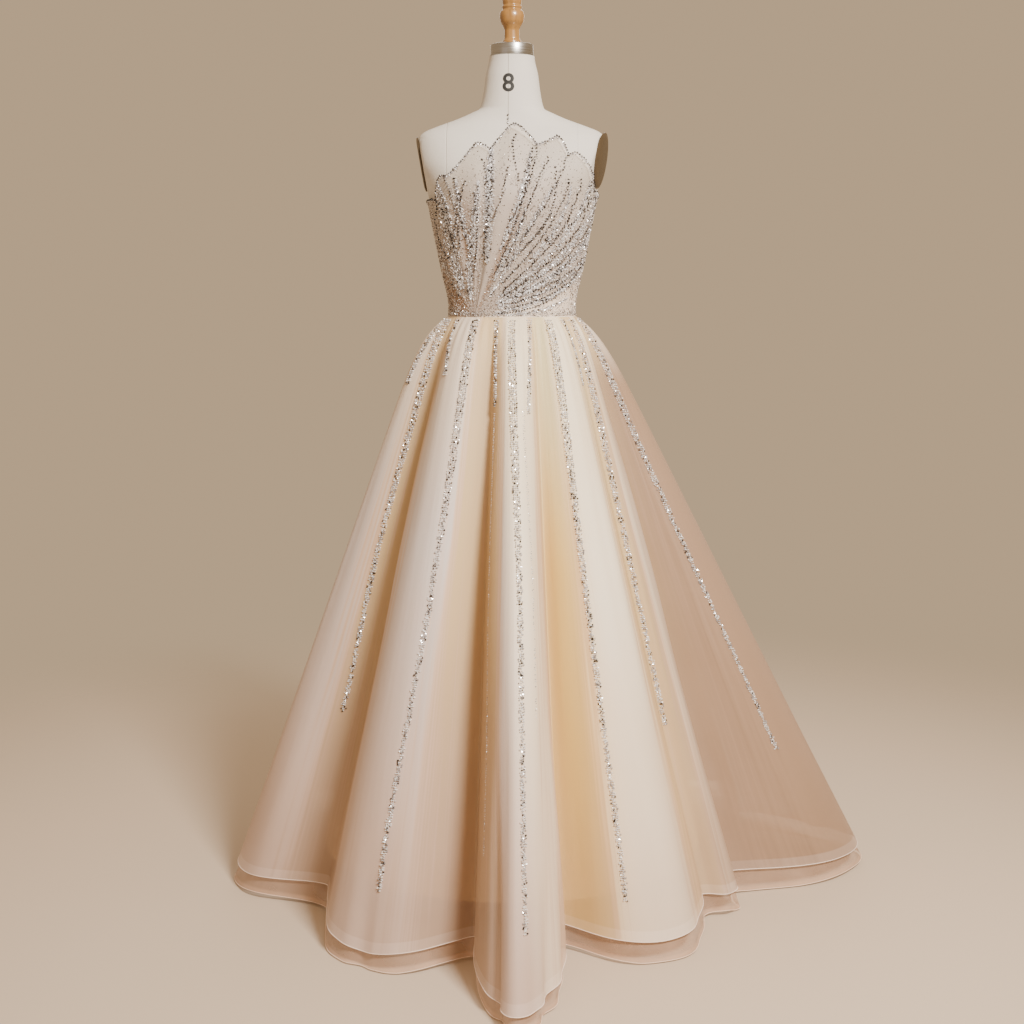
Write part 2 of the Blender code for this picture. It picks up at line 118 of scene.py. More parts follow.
Section = namedtuple("Section", "z half_width front back squareness")
FORM_SECTIONS = (
    Section(0.860, 0.1500, 0.0950, 0.1100, 2.1),
    Section(0.900, 0.1660, 0.1050, 0.1240, 2.1),
    Section(0.960, 0.1720, 0.1100, 0.1280, 2.1),
    Section(1.020, 0.1620, 0.1060, 0.1200, 2.1),
    Section(1.080, 0.1470, 0.1000, 0.1080, 2.1),
    Section(1.120, 0.1310, 0.0970, 0.0980, 2.1),
    Section(1.160, 0.1235, 0.0960, 0.0940, 2.1),
    Section(1.200, 0.1270, 0.0990, 0.0950, 2.1),
    Section(1.240, 0.1365, 0.1060, 0.0970, 2.1),
    Section(1.290, 0.1465, 0.1180, 0.1010, 2.2),
    Section(1.340, 0.1560, 0.1310, 0.1040, 2.2),
    Section(1.380, 0.1630, 0.1360, 0.1050, 2.2),
    Section(1.420, 0.1750, 0.1300, 0.1040, 2.3),
    Section(1.460, 0.1870, 0.1140, 0.1000, 2.4),
    Section(1.490, 0.1885, 0.0980, 0.0920, 2.3),
    Section(1.510, 0.1840, 0.0820, 0.0830, 2.2),
    Section(1.520, 0.1740, 0.0720, 0.0760, 2.1),
    Section(1.530, 0.1500, 0.0640, 0.0700, 2.1),
    Section(1.545, 0.1080, 0.0590, 0.0650, 2.0),
    Section(1.557, 0.0800, 0.0570, 0.0620, 2.0),
    Section(1.565, 0.0640, 0.0560, 0.0600, 2.0),
    Section(1.592, 0.0570, 0.0530, 0.0550, 2.0),
    Section(1.631, 0.0515, 0.0490, 0.0510, 2.0),
    Section(1.6655, 0.0445, 0.0440, 0.0445, 2.0),
)

# The bodice's top edge
Notch = namedtuple("Notch", "degrees z")
Tip = namedtuple("Tip", "degrees z start_bulge end_bulge")
NOTCHES = (
    Notch(-90, 1.380),
    Notch(-60, 1.384),
    Notch(-43, 1.428),
    Notch(-9.5, 1.476),
    Notch(12, 1.485),
    Notch(30.5, 1.466),
    Notch(72, 1.398),
    Notch(90, 1.390),
)
TIPS = (
    Tip(-65, 1.388, 1.0, 1.0),
    Tip(-44, 1.430, 1.0, 1.0),
    Tip(-17.5, 1.487, 0.0, 1.0),
    Tip(1.2, 1.521, 0.7, 0.7),
    Tip(25, 1.500, 0.5, 0.8),
    Tip(37, 1.471, 1.0, 0.5),
    Tip(74, 1.399, 1.0, 1.0),
)
HOLLOW_SIDE = 1.75
BACK_EDGE_LOW = 1.345
SIDE_EDGE = 1.385

# Folds of the bodice fan in the front view, each leaving the gather point at a lean from upright
GATHER_X = -0.072
PETAL_LIFT = 0.0035
FAN_BEND = 6
Fold = namedtuple("Fold", "lean_degrees half_spread height")
FAN_FOLDS = (
    Fold(-24, 5, 0.0030),
    Fold(-12, 4, 0.0034),
    Fold(1, 4.5, 0.0030),
    Fold(14, 5, 0.0075),
    Fold(30, 5, 0.0034),
    Fold(40, 4.5, 0.0030),
    Fold(51, 5, 0.0036),
    Fold(64, 5, 0.0026),
)

# The skirt's folds all round, in turn a valley and a ridge
Flute = namedtuple("Flute", "waist_degrees hem_degrees hem_radius hem_height puff breadth")
FLUTES = (
    Flute(-104, -102, 0.470, 0.050, 0.05, 1.0),
    Flute(-83, -80, 0.575, 0.040, 0.10, 1.2),
    Flute(-62, -56, 0.435, 0.050, 0.05, 1.0),
    Flute(-39, -27, 0.590, 0.036, 0.08, 1.4),
    Flute(-15, -8, 0.480, 0.045, 0.05, 1.0),
    Flute(1.5, 0.5, 0.765, 0.030, 0.06, 2.2),
    Flute(18, 11.5, 0.430, 0.048, 0.05, 1.0),
    Flute(36, 31, 0.560, 0.040, 0.06, 1.7),
    Flute(51, 52, 0.465, 0.048, 0.05, 1.0),
    Flute(66, 60, 0.505, 0.040, 0.06, 1.2),
    Flute(78, 69, 0.470, 0.050, 0.05, 1.0),
    Flute(92, 93, 0.740, 0.038, 0.06, 1.6),
    Flute(110, 112, 0.530, 0.050, 0.05, 1.0),
    Flute(128, 129, 0.660, 0.040, 0.06, 1.3),
    Flute(146, 146, 0.500, 0.050, 0.05, 1.0),
    Flute(163, 163, 0.620, 0.040, 0.06, 1.2),
    Flute(181, 181, 0.490, 0.050, 0.05, 1.0),
    Flute(199, 199, 0.610, 0.040, 0.06, 1.2),
    Flute(217, 217, 0.480, 0.050, 0.05, 1.0),
    Flute(236, 237, 0.600, 0.040, 0.07, 1.2),
    Flute(256, 258, 0.470, 0.050, 0.05, 1.0),
)
FOLDS = len(FLUTES) - 1

# Softer creases laid over the folds: where they run, how deep and how broad they are
Crease = namedtuple("Crease", "place drift start end depth half_width")
CREASES = (
    Crease(0.55, 0.10, 0.30, 1.10, 0.006, 0.16),
    Crease(1.15, 0.05, 0.12, 0.75, -0.003, 0.12),
    Crease(1.45, -0.10, 0.55, 1.15, 0.005, 0.13),
    Crease(2.30, 0.15, 0.05, 0.60, 0.004, 0.14),
    Crease(2.92, 0.00, 0.72, 1.50, -0.021, 0.24),
    Crease(3.45, -0.08, 0.30, 0.90, 0.004, 0.14),
    Crease(3.70, 0.10, 0.65, 1.15, 0.006, 0.12),
    Crease(4.35, 0.10, 0.10, 0.70, 0.004, 0.15),
    Crease(4.80, -0.05, 0.50, 1.15, -0.004, 0.12),
    Crease(5.30, 0.05, 0.25, 0.85, 0.004, 0.12),
    Crease(4.62, 0.00, 0.62, 1.40, -0.013, 0.07),
    Crease(5.65, 0.05, 0.60, 1.15, 0.008, 0.14),
    Crease(6.30, -0.10, 0.15, 0.80, 0.005, 0.16),
    Crease(6.80, 0.10, 0.55, 1.10, -0.005, 0.16),
    Crease(7.35, -0.05, 0.20, 0.75, 0.004, 0.14),
    Crease(7.70, 0.05, 0.60, 1.15, 0.006, 0.15),
    Crease(8.40, 0.05, 0.25, 0.95, 0.005, 0.16),
    Crease(9.40, -0.15, 0.10, 0.65, 0.005, 0.18),
    Crease(9.75, 0.10, 0.50, 1.15, -0.006, 0.18),
    Crease(10.30, 0.05, 0.35, 1.00, 0.005, 0.13),
    Crease(10.80, -0.10, 0.50, 1.15, -0.004, 0.12),
    Crease(11.35, 0.05, 0.20, 0.80, 0.005, 0.14),
    Crease(11.75, 0.05, 0.65, 1.15, 0.006, 0.14),
    Crease(12.45, -0.10, 0.30, 1.10, 0.005, 0.16),
    Crease(13.30, 0.10, 0.15, 0.70, -0.004, 0.14),
    Crease(13.60, -0.05, 0.55, 1.15, 0.006, 0.15),
    Crease(14.40, 0.10, 0.20, 0.85, 0.005, 0.15),
    Crease(15.25, -0.05, 0.45, 1.15, -0.004, 0.14),
    Crease(15.70, 0.05, 0.10, 0.60, 0.004, 0.15),
    Crease(16.35, 0.10, 0.50, 1.15, 0.006, 0.16),
    Crease(17.20, -0.10, 0.20, 0.80, 0.004, 0.14),
    Crease(17.65, 0.05, 0.60, 1.15, -0.005, 0.15),
    Crease(18.40, -0.05, 0.15, 0.75, 0.005, 0.16),
    Crease(19.30, 0.10, 0.35, 1.15, 0.005, 0.15),
    Crease(19.70, -0.05, 0.10, 0.65, -0.003, 0.14),
)

# Places where the cloth lies in its own shadow: the middle, how dark and how broad
OWN_SHADOWS = (
    (2.02, 0.50, 0.30),
    (4.02, 0.44, 0.34),
    (8.60, 0.34, 0.50),
    (9.20, 0.66, 0.60),
    (10.55, 0.96, 1.05),
    (14.05, 0.24, 0.30),
    (16.00, 0.30, 0.28),
    (18.00, 0.26, 0.30),
    (20.00, 0.30, 0.30),
)

# Stretches beside the valleys where painted shade tones the ridges' cloth like the valleys': the middle, the
# breadth, and how far near the waist and near the hem
Turn = namedtuple("Turn", "place half_width high low")
SHADED_TURNS = (
    Turn(1.85, 0.24, 0.25, 0.55),
    Turn(3.85, 0.46, 0.35, 1.00),
    Turn(4.42, 0.26, 0.35, 0.75),
    Turn(6.28, 0.30, 0.50, 0.70),
    Turn(8.45, 0.50, 0.40, 0.55),
    Turn(9.85, 0.22, 0.30, 0.45),
    Turn(13.85, 0.34, 0.30, 0.60),
    Turn(16.20, 0.36, 0.35, 0.65),
    Turn(17.80, 0.32, 0.25, 0.55),
)

# Stretches where the gold satin shows through most, partly painted light where the key light falls into a
# valley: the middle, how bright and how broad
LIT_GOLD_STRETCHES = (
    (6.26, 0.85, 0.30),
    (7.75, 0.35, 0.25),
    (15.95, 0.40, 0.30),
)

# Frilled stretches of the hem: where they are, how far they spread and how deep their scallops are
Frill = namedtuple("Frill", "place half_width depth")
FRILLS = (
    Frill(5.50, 0.22, 0.0060),
    Frill(2.90, 0.18, 0.0030),
    Frill(11.40, 0.20, 0.0045),
    Frill(16.60, 0.24, 0.0040),
)
FRILL_WAVES = 4.0

# Lines of beads down the skirt: the share of the drop, the place among the folds, and how many columns.
# The lines with the fewest columns are faint ones, of tiny beads.
FAINT_COLUMNS = 2
BeadLine = namedtuple("BeadLine", "start end high middle low columns")
BEAD_LINES = (
    BeadLine(0.005, 0.12, 1.36, 1.28, 1.22, 3),
    BeadLine(0.005, 0.70, 1.66, 1.62, 1.70, 4),
    BeadLine(0.005, 0.10, 2.38, 2.58, 2.74, 3),
    BeadLine(0.005, 0.91, 3.34, 3.20, 3.05, 4),
    BeadLine(0.005, 0.15, 4.16, 4.22, 4.28, 3),
    BeadLine(0.005, 0.90, 4.90, 5.10, 5.11, 4),
    BeadLine(0.160, 0.83, 4.26, 4.33, 4.37, 2),
    BeadLine(0.150, 0.62, 5.27, 5.36, 5.33, 2),
    BeadLine(0.005, 0.16, 5.76, 5.58, 5.46, 3),
    BeadLine(0.005, 0.94, 6.72, 6.64, 6.64, 4),
    BeadLine(0.005, 0.12, 7.72, 7.84, 7.76, 3),
    BeadLine(0.005, 0.71, 8.50, 8.26, 8.14, 4),
    BeadLine(0.005, 0.79, 10.30, 10.46, 10.52, 4),
    BeadLine(0.005, 0.14, 11.60, 11.55, 11.50, 3),
    BeadLine(0.005, 0.84, 12.90, 12.84, 12.80, 4),
    BeadLine(0.005, 0.12, 13.80, 13.84, 13.90, 3),
    BeadLine(0.005, 0.92, 14.86, 14.92, 14.94, 4),
    BeadLine(0.005, 0.13, 15.85, 15.80, 15.74, 3),
    BeadLine(0.005, 0.76, 16.92, 16.98, 17.04, 4),
    BeadLine(0.005, 0.15, 17.90, 17.86, 17.80, 3),
    BeadLine(0.005, 0.88, 18.98, 18.94, 18.90, 4),
    BeadLine(0.005, 0.13, 19.85, 19.90, 19.92, 3),
)

# Rows of beads in the bodice's fan: lean and reach from the gather point, and the bow between both ends
BeadRow = namedtuple("BeadRow", "low_lean high_lean start end bow")
DARK_ROWS = (
    BeadRow(-24, -17, 0.130, 0.235, -2),
    BeadRow(-15, -8, 0.150, 0.270, 3),
    BeadRow(-7, -3, 0.170, 0.262, -2),
    BeadRow(1, 0, 0.090, 0.240, 2),
    BeadRow(8, 3, 0.120, 0.300, 2),
    BeadRow(11, 13, 0.190, 0.290, 1),
    BeadRow(19, 13, 0.270, 0.352, -2),
    BeadRow(25, 19, 0.095, 0.340, 1),
    BeadRow(29, 25, 0.120, 0.335, -1),
    BeadRow(30, 36, 0.110, 0.250, 3),
    BeadRow(35, 28, 0.165, 0.325, 4),
    BeadRow(39, 34, 0.085, 0.320, 3),
    BeadRow(46, 37, 0.075, 0.335, 4),
    BeadRow(53, 40, 0.070, 0.345, 5),
    BeadRow(57, 43, 0.120, 0.340, 5),
    BeadRow(61, 45, 0.065, 0.335, 6),
    BeadRow(65, 48, 0.110, 0.325, 6),
    BeadRow(69, 51, 0.075, 0.310, 7),
    BeadRow(75, 56, 0.060, 0.280, 6),
    BeadRow(82, 66, 0.045, 0.215, 5),
)
Cluster = namedtuple("Cluster", "low_lean high_lean start end bow width beads")
CLUSTERS = (
    Cluster(-22, -15, 0.060, 0.265, 2, 0.022, 1500),
    Cluster(-33, -27, 0.050, 0.235, 1, 0.014, 500),
    Cluster(-10, 2, 0.035, 0.260, 3, 0.014, 900),
    Cluster(-2, -7, 0.120, 0.265, -2, 0.010, 320),
    Cluster(13, 6, 0.110, 0.330, -2, 0.018, 1300),
    Cluster(21, 19, 0.140, 0.330, 1, 0.012, 600),
    Cluster(28, 25, 0.080, 0.230, 1, 0.009, 300),
    Cluster(36, 31, 0.050, 0.290, -2, 0.009, 450),
    Cluster(44, 36, 0.150, 0.310, 2, 0.010, 400),
    Cluster(50, 40, 0.060, 0.340, 4, 0.011, 700),
    Cluster(57, 42, 0.050, 0.350, 5, 0.011, 900),
    Cluster(63, 45, 0.050, 0.345, 6, 0.013, 1200),
    Cluster(70, 50, 0.050, 0.320, 7, 0.010, 700),
    Cluster(78, 57, 0.040, 0.285, 6, 0.010, 650),
    Cluster(87, 78, 0.030, 0.185, 3, 0.009, 350),
)

# Short beaded strands that run on from the notches between the petals towards the gather
STRAND_REACH = (0.55, 0.50, 0.62, 0.58, 0.48, 0.60)

# Tiny seeds strewn over the bodice, and how far their middles stand off the cloth
LOOSE_SEEDS = 14500
SIDE_SEEDS = 1000
BACK_SEEDS = 1700
WAIST_SEEDS = 900
SEED_OUT = 0.0006

# Dark beads on the bodice: their size, steps and distances off the cloth, and one in how many of a cluster's
DARK_RADIUS = 0.0020
DARK_STEP = 0.0054
DARK_OUT = 0.0011
DARK_EDGE_STEP = 0.0056
DARK_EDGE_OUT = 0.0014
DARK_IN_CLUSTERS = 45
DARK_CLUSTER_OUT = 0.0016

# Silver beads on the bodice, in the clusters, beside the dark rows and along the edges
CLUSTER_RADIUS = 0.0015
CLUSTER_OUT = 0.0009
ROW_RADIUS = 0.0014
ROW_STEP = 0.0024
ROW_OUT = 0.0007
EDGE_RADIUS = 0.0017
EDGE_STEP = 0.0030
EDGE_OUT = 0.0008
BACK_EDGE_RADIUS = 0.0016
BACK_EDGE_OUT = 0.001
BRIGHT_SHARE = 0.02
BRIGHT_SIZE = 1.6

# Seeds' size, and the tones of silver beads and seeds
SEED_RADIUS = 0.0012
BODICE_TONES = (0.35, 1.15)
SILVER_DARK_SHARE = 0.08
SEED_DARK_SHARE = 0.16

# Three dark beads in a short strand on the form, above the bodice's highest petal
TOP_STRAND_X = -0.008
TOP_STRAND_Z = (1.5330, 1.5405, 1.5480)
TOP_STRAND_OUT = 0.0012

# The skirt's lines: how many beads are dark, and how far out and how large the faint lines' beads are
DARK_SHARE = 0.10
LINE_TONES = (0.50, 1.30)
FAINT_OUT = 0.2
FAINT_SIZE = 0.55

BEAD_DARK = (0.040, 0.036, 0.038)
BEAD_GREY = (0.44, 0.41, 0.42)
BEAD_BRIGHT = (1.0, 0.99, 1.0)

FINIAL_PROFILE = (
    (0.0, 0.000),
    (0.0185, 0.000),
    (0.0185, 0.006),
    (0.0150, 0.012),
    (0.0148, 0.026),
    (0.0175, 0.034),
    (0.0230, 0.044),
    (0.0243, 0.053),
    (0.0225, 0.062),
    (0.0185, 0.067),
    (0.0200, 0.071),
    (0.0178, 0.075),
    (0.0190, 0.082),
    (0.0180, 0.092),
    (0.0120, 0.101),
    (0.0, 0.105),
)

# The stage: a round floor that fades out between two radii, the lights and the camera
FLOOR_RADIUS = 4.0
FLOOR_FADE = (0.9, 2.6)
Light = namedtuple("Light", "name place size power colour")
LIGHTS = (
    Light("key", (1.45, -2.7, 3.3), 0.8, 300, (1.0, 0.94, 0.86)),
    Light("fill", (-2.4, -3.0, 1.8), 2.4, 5, (0.96, 0.95, 1.0)),
    Light("rim", (0.2, 2.8, 2.8), 2.0, 25, (1.0, 0.95, 0.90)),
)
LIGHTS_AIM = 0.9
CAMERA_PLACE = (0.0, -3.20, 1.2333)
CAMERA_TILT = 81.544
CAMERA_LENS = 55.257
CAMERA_SENSOR = 36.0


# Tables and smooth surfaces

def blend(start, end, share):
    return start + (end - start) * share


def column(rows, name):
    return np.array([getattr(row, name) for row in rows], float)


def smooth_curve(places, values, at):
    """A smooth curve through a table's values, with no overshoot where they level out."""
    width = np.diff(places)
    rise = np.diff(values) / width
    slope = np.zeros(len(places))
    slope[0] = rise[0]
    product = rise[:-1] * rise[1:]
    total = np.where(product > 0, rise[:-1] + rise[1:], 1.0)
    slope[1:-1] = np.where(product > 0, 2 * product / total, 0.0)
    lower = np.clip(np.searchsorted(places, at, side="right") - 1, 0, len(places) - 2)
    f = np.clip((at - places[lower]) / width[lower], 0, 1)
    return (
        values[lower] * (1 + 2 * f) * (1 - f) ** 2
        + slope[lower] * width[lower] * f * (1 - f) ** 2
        + values[lower + 1] * f * f * (3 - 2 * f)
        + slope[lower + 1] * width[lower] * f * f * (f - 1)
    )


def soft_step(low, high, value):
    share = np.clip((value - low) / (high - low), 0, 1)
    return share * share * (3 - 2 * share)


def unit(vectors):
    return vectors / np.maximum(np.linalg.norm(vectors, axis=-1, keepdims=True), 1e-12)


SECTION_HEIGHTS = column(FORM_SECTIONS, "z")


def form_size(name, z):
    return smooth_curve(SECTION_HEIGHTS, column(FORM_SECTIONS, name), z)


def armhole_x(side, y, z):
    """How far out a side's flat plane stands. Below its foot it leaves the form."""
    armhole = ARMHOLES[side]
    fade = np.maximum(0, ARMHOLE_FOOT - z) * ARMHOLE_FADE
    return armhole.x + (z - armhole.z) * armhole.lean + (y - armhole.y) * armhole.turn + fade


def form_point(degrees, z):
    """A point on the form: an oval section, cut flat at the armholes."""
    degrees, z = np.broadcast_arrays(np.asarray(degrees, float), np.asarray(z, float))
    aim_x = np.sin(np.radians(degrees))
    aim_y = -np.cos(np.radians(degrees))
    power = 2 / form_size("squareness", z)
    depth = np.where(aim_y < 0, form_size("front", z), form_size("back", z))
    x = np.sign(aim_x) * np.abs(aim_x) ** power * form_size("half_width", z)
    y = np.sign(aim_y) * np.abs(aim_y) ** power * depth
    x = np.maximum(-armhole_x(-1, y, z), np.minimum(armhole_x(1, y, z), x))
    return np.stack([x, y, z], axis=-1)


def form_normal(degrees, z):
    across = form_point(degrees + 0.5, z) - form_point(degrees - 0.5, z)
    upward = form_point(degrees, z + 0.002) - form_point(degrees, z - 0.002)
    return unit(np.cross(across, upward))


def form_degrees(x, z):
    """The angle round the form at which its front stands at x."""
    share = np.clip(np.abs(x) / form_size("half_width", z), 0, 0.9995)
    return np.degrees(np.arcsin(share ** (form_size("squareness", z) / 2))) * np.sign(x)


def petal_edge(degrees):
    """Height of the front's top edge: petals rise from notches to tips, their sides round or hollow."""
    height = np.full(np.shape(degrees), SIDE_EDGE)
    for start, tip, end in zip(NOTCHES, TIPS, NOTCHES[1:]):
        for notch, bulge in ((start, tip.start_bulge), (end, tip.end_bulge)):
            f = (degrees - notch.degrees) / (tip.degrees - notch.degrees)
            here = (f >= 0) & (f <= 1)
            f = np.clip(f, 0, 1)
            share = blend(f**HOLLOW_SIDE, np.sin(f * np.pi / 2), bulge)
            height = np.where(here, blend(notch.z, tip.z, share), height)
    return height


def back_edge(degrees):
    share = (np.abs(degrees) - 90) / 90
    return blend(SIDE_EDGE, BACK_EDGE_LOW, np.sin(share * np.pi / 2) ** 2)


def fan_place(point):
    """Lean from upright and reach, seen from the front, of a place about the gather point."""
    across = point[..., 0] - GATHER_X
    rise = point[..., 2] - WAIST
    return np.degrees(np.arctan2(across, rise + 0.004)), np.hypot(across, rise)


def fan_relief(point):
    lean, reach = fan_place(point)
    total = np.zeros_like(lean)
    for fold in FAN_FOLDS:
        bend = FAN_BEND * soft_step(0.05, 0.30, reach) * np.sin(np.radians(lean))
        away = (lean - fold.lean_degrees + bend) / fold.half_spread
        total += fold.height * np.exp(-away * away)
    pleats = PLEAT_DEPTH * np.exp(-reach / PLEAT_REACH) * (1 + np.sin(lean * 0.9 + 2.2 * np.sin(lean * 0.13)))
    return total * np.minimum(1.0, reach / 0.10) + pleats


def off_form(z):
    """How far the bodice's plain cloth stands off the form: a little more over the waist seam."""
    return BODICE_OUT + WAIST_TURN_OUT * np.maximum(0.0, 1 - (z - WAIST) / WAIST_TURN_HEIGHT)


def bodice_cloth(degrees, z):
    """A point on the outside of the bodice's front cloth."""
    top = petal_edge(degrees)
    on_form = form_point(degrees, z)
    near_side = np.maximum(0.0, np.cos(np.radians(degrees)))
    rise = (z - WAIST) / (top - WAIST)
    out = off_form(z) + fan_relief(on_form) * np.minimum(1.0, near_side * 3)
    out = out + PETAL_LIFT * np.maximum(0.0, rise - 0.7) / 0.3 * near_side
    return on_form + form_normal(degrees, z) * out[..., None]


def back_cloth(degrees, z):
    """A point on the outside of the bodice's plain back."""
    return form_point(degrees, z) + form_normal(degrees, z) * np.asarray(off_form(z))[..., None]


def sewn_on(surface, degrees, z, out):
    """Places that stand a little off the bodice's front or back cloth."""
    return surface(degrees, z) + form_normal(degrees, z) * out


def flare(t, puff):
    """The share of the way out at a share of the drop: quick at the waist, then straight."""
    return t + puff * (1 - np.exp(-t / 0.035)) * (1 - t)


def fold_values(place):
    """The skirt's table read between its rows, with ridge = 1 on a ridge and 0 in a valley."""
    place = np.mod(place, FOLDS)
    row = np.minimum(place.astype(int), FOLDS - 1)
    share = place - row
    rising = row % 2 == 0
    breadth = column(FLUTES, "breadth")
    breadth = np.where(rising, breadth[row + 1], breadth[row])
    climb = ((1 - np.cos(np.pi * np.where(rising, share, 1 - share))) / 2) ** (1 / breadth)
    eased = np.where(rising, climb, 1 - climb)

    def mixed(name, by):
        values = column(FLUTES, name)
        return blend(values[row], values[row + 1], by)

    return {
        "waist": mixed("waist_degrees", share),
        "hem": mixed("hem_degrees", share),
        "radius": mixed("hem_radius", eased),
        "height": mixed("hem_height", eased),
        "puff": mixed("puff", eased),
        "ridge": climb,
    }


def round_away(place, middle):
    """How many folds a place stands from a middle, the shorter way round."""
    return np.mod(place - middle + FOLDS / 2, FOLDS) - FOLDS / 2


def waist_point(degrees, out):
    on_form = form_point(degrees, FORM_WAIST)
    across = form_point(degrees + 0.5, FORM_WAIST) - form_point(degrees - 0.5, FORM_WAIST)
    outward = unit(np.stack([across[..., 1], -across[..., 0], np.zeros_like(across[..., 0])], axis=-1))
    point = on_form + outward * out
    point[..., 2] = WAIST
    return point


def level(degrees, radius):
    angle = np.radians(degrees)
    return np.stack([np.sin(angle) * radius, -np.cos(angle) * radius, np.zeros_like(angle)], axis=-1)


def smooth_skirt(place, t):
    """The overlay's outside before its creases; t is 0 at the waist, 1 at the hem."""
    fold = fold_values(place)
    start = waist_point(fold["waist"], SKIRT_STACK)
    end = level(fold["hem"], fold["radius"])
    out = np.where(t <= 1, flare(np.minimum(t, 1), fold["puff"]), t)
    point = start + (end - start) * out[..., None]
    point[..., 2] = blend(WAIST, fold["height"], t)
    return point


def frame_of(surface, place, t, step=0.02, drop=0.004):
    """The point, the unit direction across and the outward normal of a skirt surface."""
    point = surface(place, t)
    across = unit(surface(place + step, t) - surface(place - step, t))
    down = surface(place, t + drop) - surface(place, np.maximum(0.0, t - drop))
    return point, across, unit(np.cross(down, across))


def crease_relief(place, t):
    """How far the soft creases, the gathers at the waist and the ripples of the hem stand out."""
    total = np.zeros_like(t)
    for crease in CREASES:
        middle = crease.place + crease.drift * t
        away = round_away(place, middle)
        along = soft_step(crease.start, blend(crease.start, crease.end, 0.45), t) * (
            1 - soft_step(blend(crease.start, crease.end, 0.6), crease.end, t)
        )
        total += crease.depth * np.exp(-((away / crease.half_width) ** 2)) * along
    turn = 2 * np.pi * place
    gathers = np.sin(turn * 3.3 + 1.3 * np.sin(turn * 0.35)) * np.exp(-t / GATHER_REACH) * GATHER_DEPTH
    ripple = np.sin(turn * 1.45 + 1.7 * np.sin(turn / 10)) * RIPPLE_DEPTH
    for frill in FRILLS:
        near = np.exp(-(((place - frill.place) / frill.half_width) ** 2))
        total += frill.depth * near * np.sin(turn * FRILL_WAVES) * soft_step(0.80, 1.0, t)
    return total + gathers * soft_step(0.0, 0.02, t) + ripple * soft_step(0.72, 1.0, t)


def overlay_cloth(place, t):
    point, _, normal = frame_of(smooth_skirt, place, t)
    return point + normal * crease_relief(place, t)[..., None]


def underlayer_cloth(place, t):
    """The net, a little inside the overlay and always above the floor."""
    point, _, normal = frame_of(smooth_skirt, place, t)
    inset = blend(UNDERLAYER_CLOSE, UNDERLAYER_INSET, np.minimum(1.0, t / INSET_SETTLES_AT))
    net = point + normal * (crease_relief(place, t) - inset)[..., None]
    net[..., 2] = np.maximum(net[..., 2], NET_LOWEST)
    return net


def underlayer_reach(place):
    """The share of the drop at which the net ends: just off the floor, its edge a little uneven."""
    turn = 2 * np.pi * place
    uneven_edge = NET_EDGE_WANDER * (1 + np.sin(turn * 0.65 + 1.9 * np.sin(turn * 0.2)))
    return (WAIST - UNDERLAYER_CLEAR - uneven_edge) / (WAIST - fold_values(place)["height"])


def lining_cloth(place, t):
    fold = fold_values(place)
    start = waist_point(fold["waist"], LINING_STACK)
    end = level(fold["hem"], np.full_like(t, LINING_HEM_RADIUS))
    puff = LINING_PUFF + LINING_HIP_PUFF * np.sin(np.radians(fold["waist"])) ** 8
    point = start + (end - start) * flare(t, puff)[..., None]
    point[..., 2] = blend(WAIST, LINING_HEM, t)
    return point


# Mesh helpers

def linked(name, data):
    """A new object of the scene that carries the data."""
    made = bpy.data.objects.new(name, data)
    bpy.context.scene.collection.objects.link(made)
    return made


def finish_piece(name, shape, finish, *, smooth=True, sharp_degrees=None, recalculate=False):
    """Turns a bmesh into an object that rides on the part."""
    if recalculate:
        shape.normal_update()
        bmesh.ops.recalc_face_normals(shape, faces=shape.faces)
    mesh = bpy.data.meshes.new(name)
    shape.to_mesh(mesh)
    shape.free()
    if smooth:
        mesh.shade_smooth()
    if sharp_degrees:
        mesh.set_sharp_from_angle(angle=math.radians(sharp_degrees))
    mesh.materials.append(finish)
    piece = linked(name, mesh)
    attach(piece, "root")
    return piece


def cloth_grid(name, columns, rows, surface, finish, *, closed=False, marks=None, size=(1.0, 1.0)):
    """A thin cloth: a grid whose points a function of two shares puts in place, marks kept as attributes."""
    shape = bmesh.new()
    bmesh.ops.create_grid(shape, x_segments=columns, y_segments=rows, size=0.5, calc_uvs=True)
    shape.verts.ensure_lookup_table()
    flat = np.array([vertex.co[:2] for vertex in shape.verts]) + 0.5
    uv = shape.loops.layers.uv.active or shape.loops.layers.uv.new("cloth")
    for face in shape.faces:
        for loop in face.loops:
            loop[uv].uv = ((loop.vert.co.x + 0.5) * size[0], (loop.vert.co.y + 0.5) * size[1])
    across = flat[:, 0]
    down = flat[:, 1]
    for mark, values in (marks or {}).items():
        layer = shape.verts.layers.float.new(mark)
        for vertex, value in zip(shape.verts, values(across, down)):
            vertex[layer] = float(value)
    places = surface(across, down)
    for vertex, place in zip(shape.verts, places):
        vertex.co = place
    if closed:
        bmesh.ops.remove_doubles(shape, verts=shape.verts, dist=1e-5)
    shape.normal_update()
    middle = shape.faces[:][len(shape.faces) // 2]
    outward = middle.calc_center_median().copy()
    outward.z = 0.0
    if middle.normal.dot(outward) < 0:
        bmesh.ops.reverse_faces(shape, faces=shape.faces)
    return finish_piece(name, shape, finish)


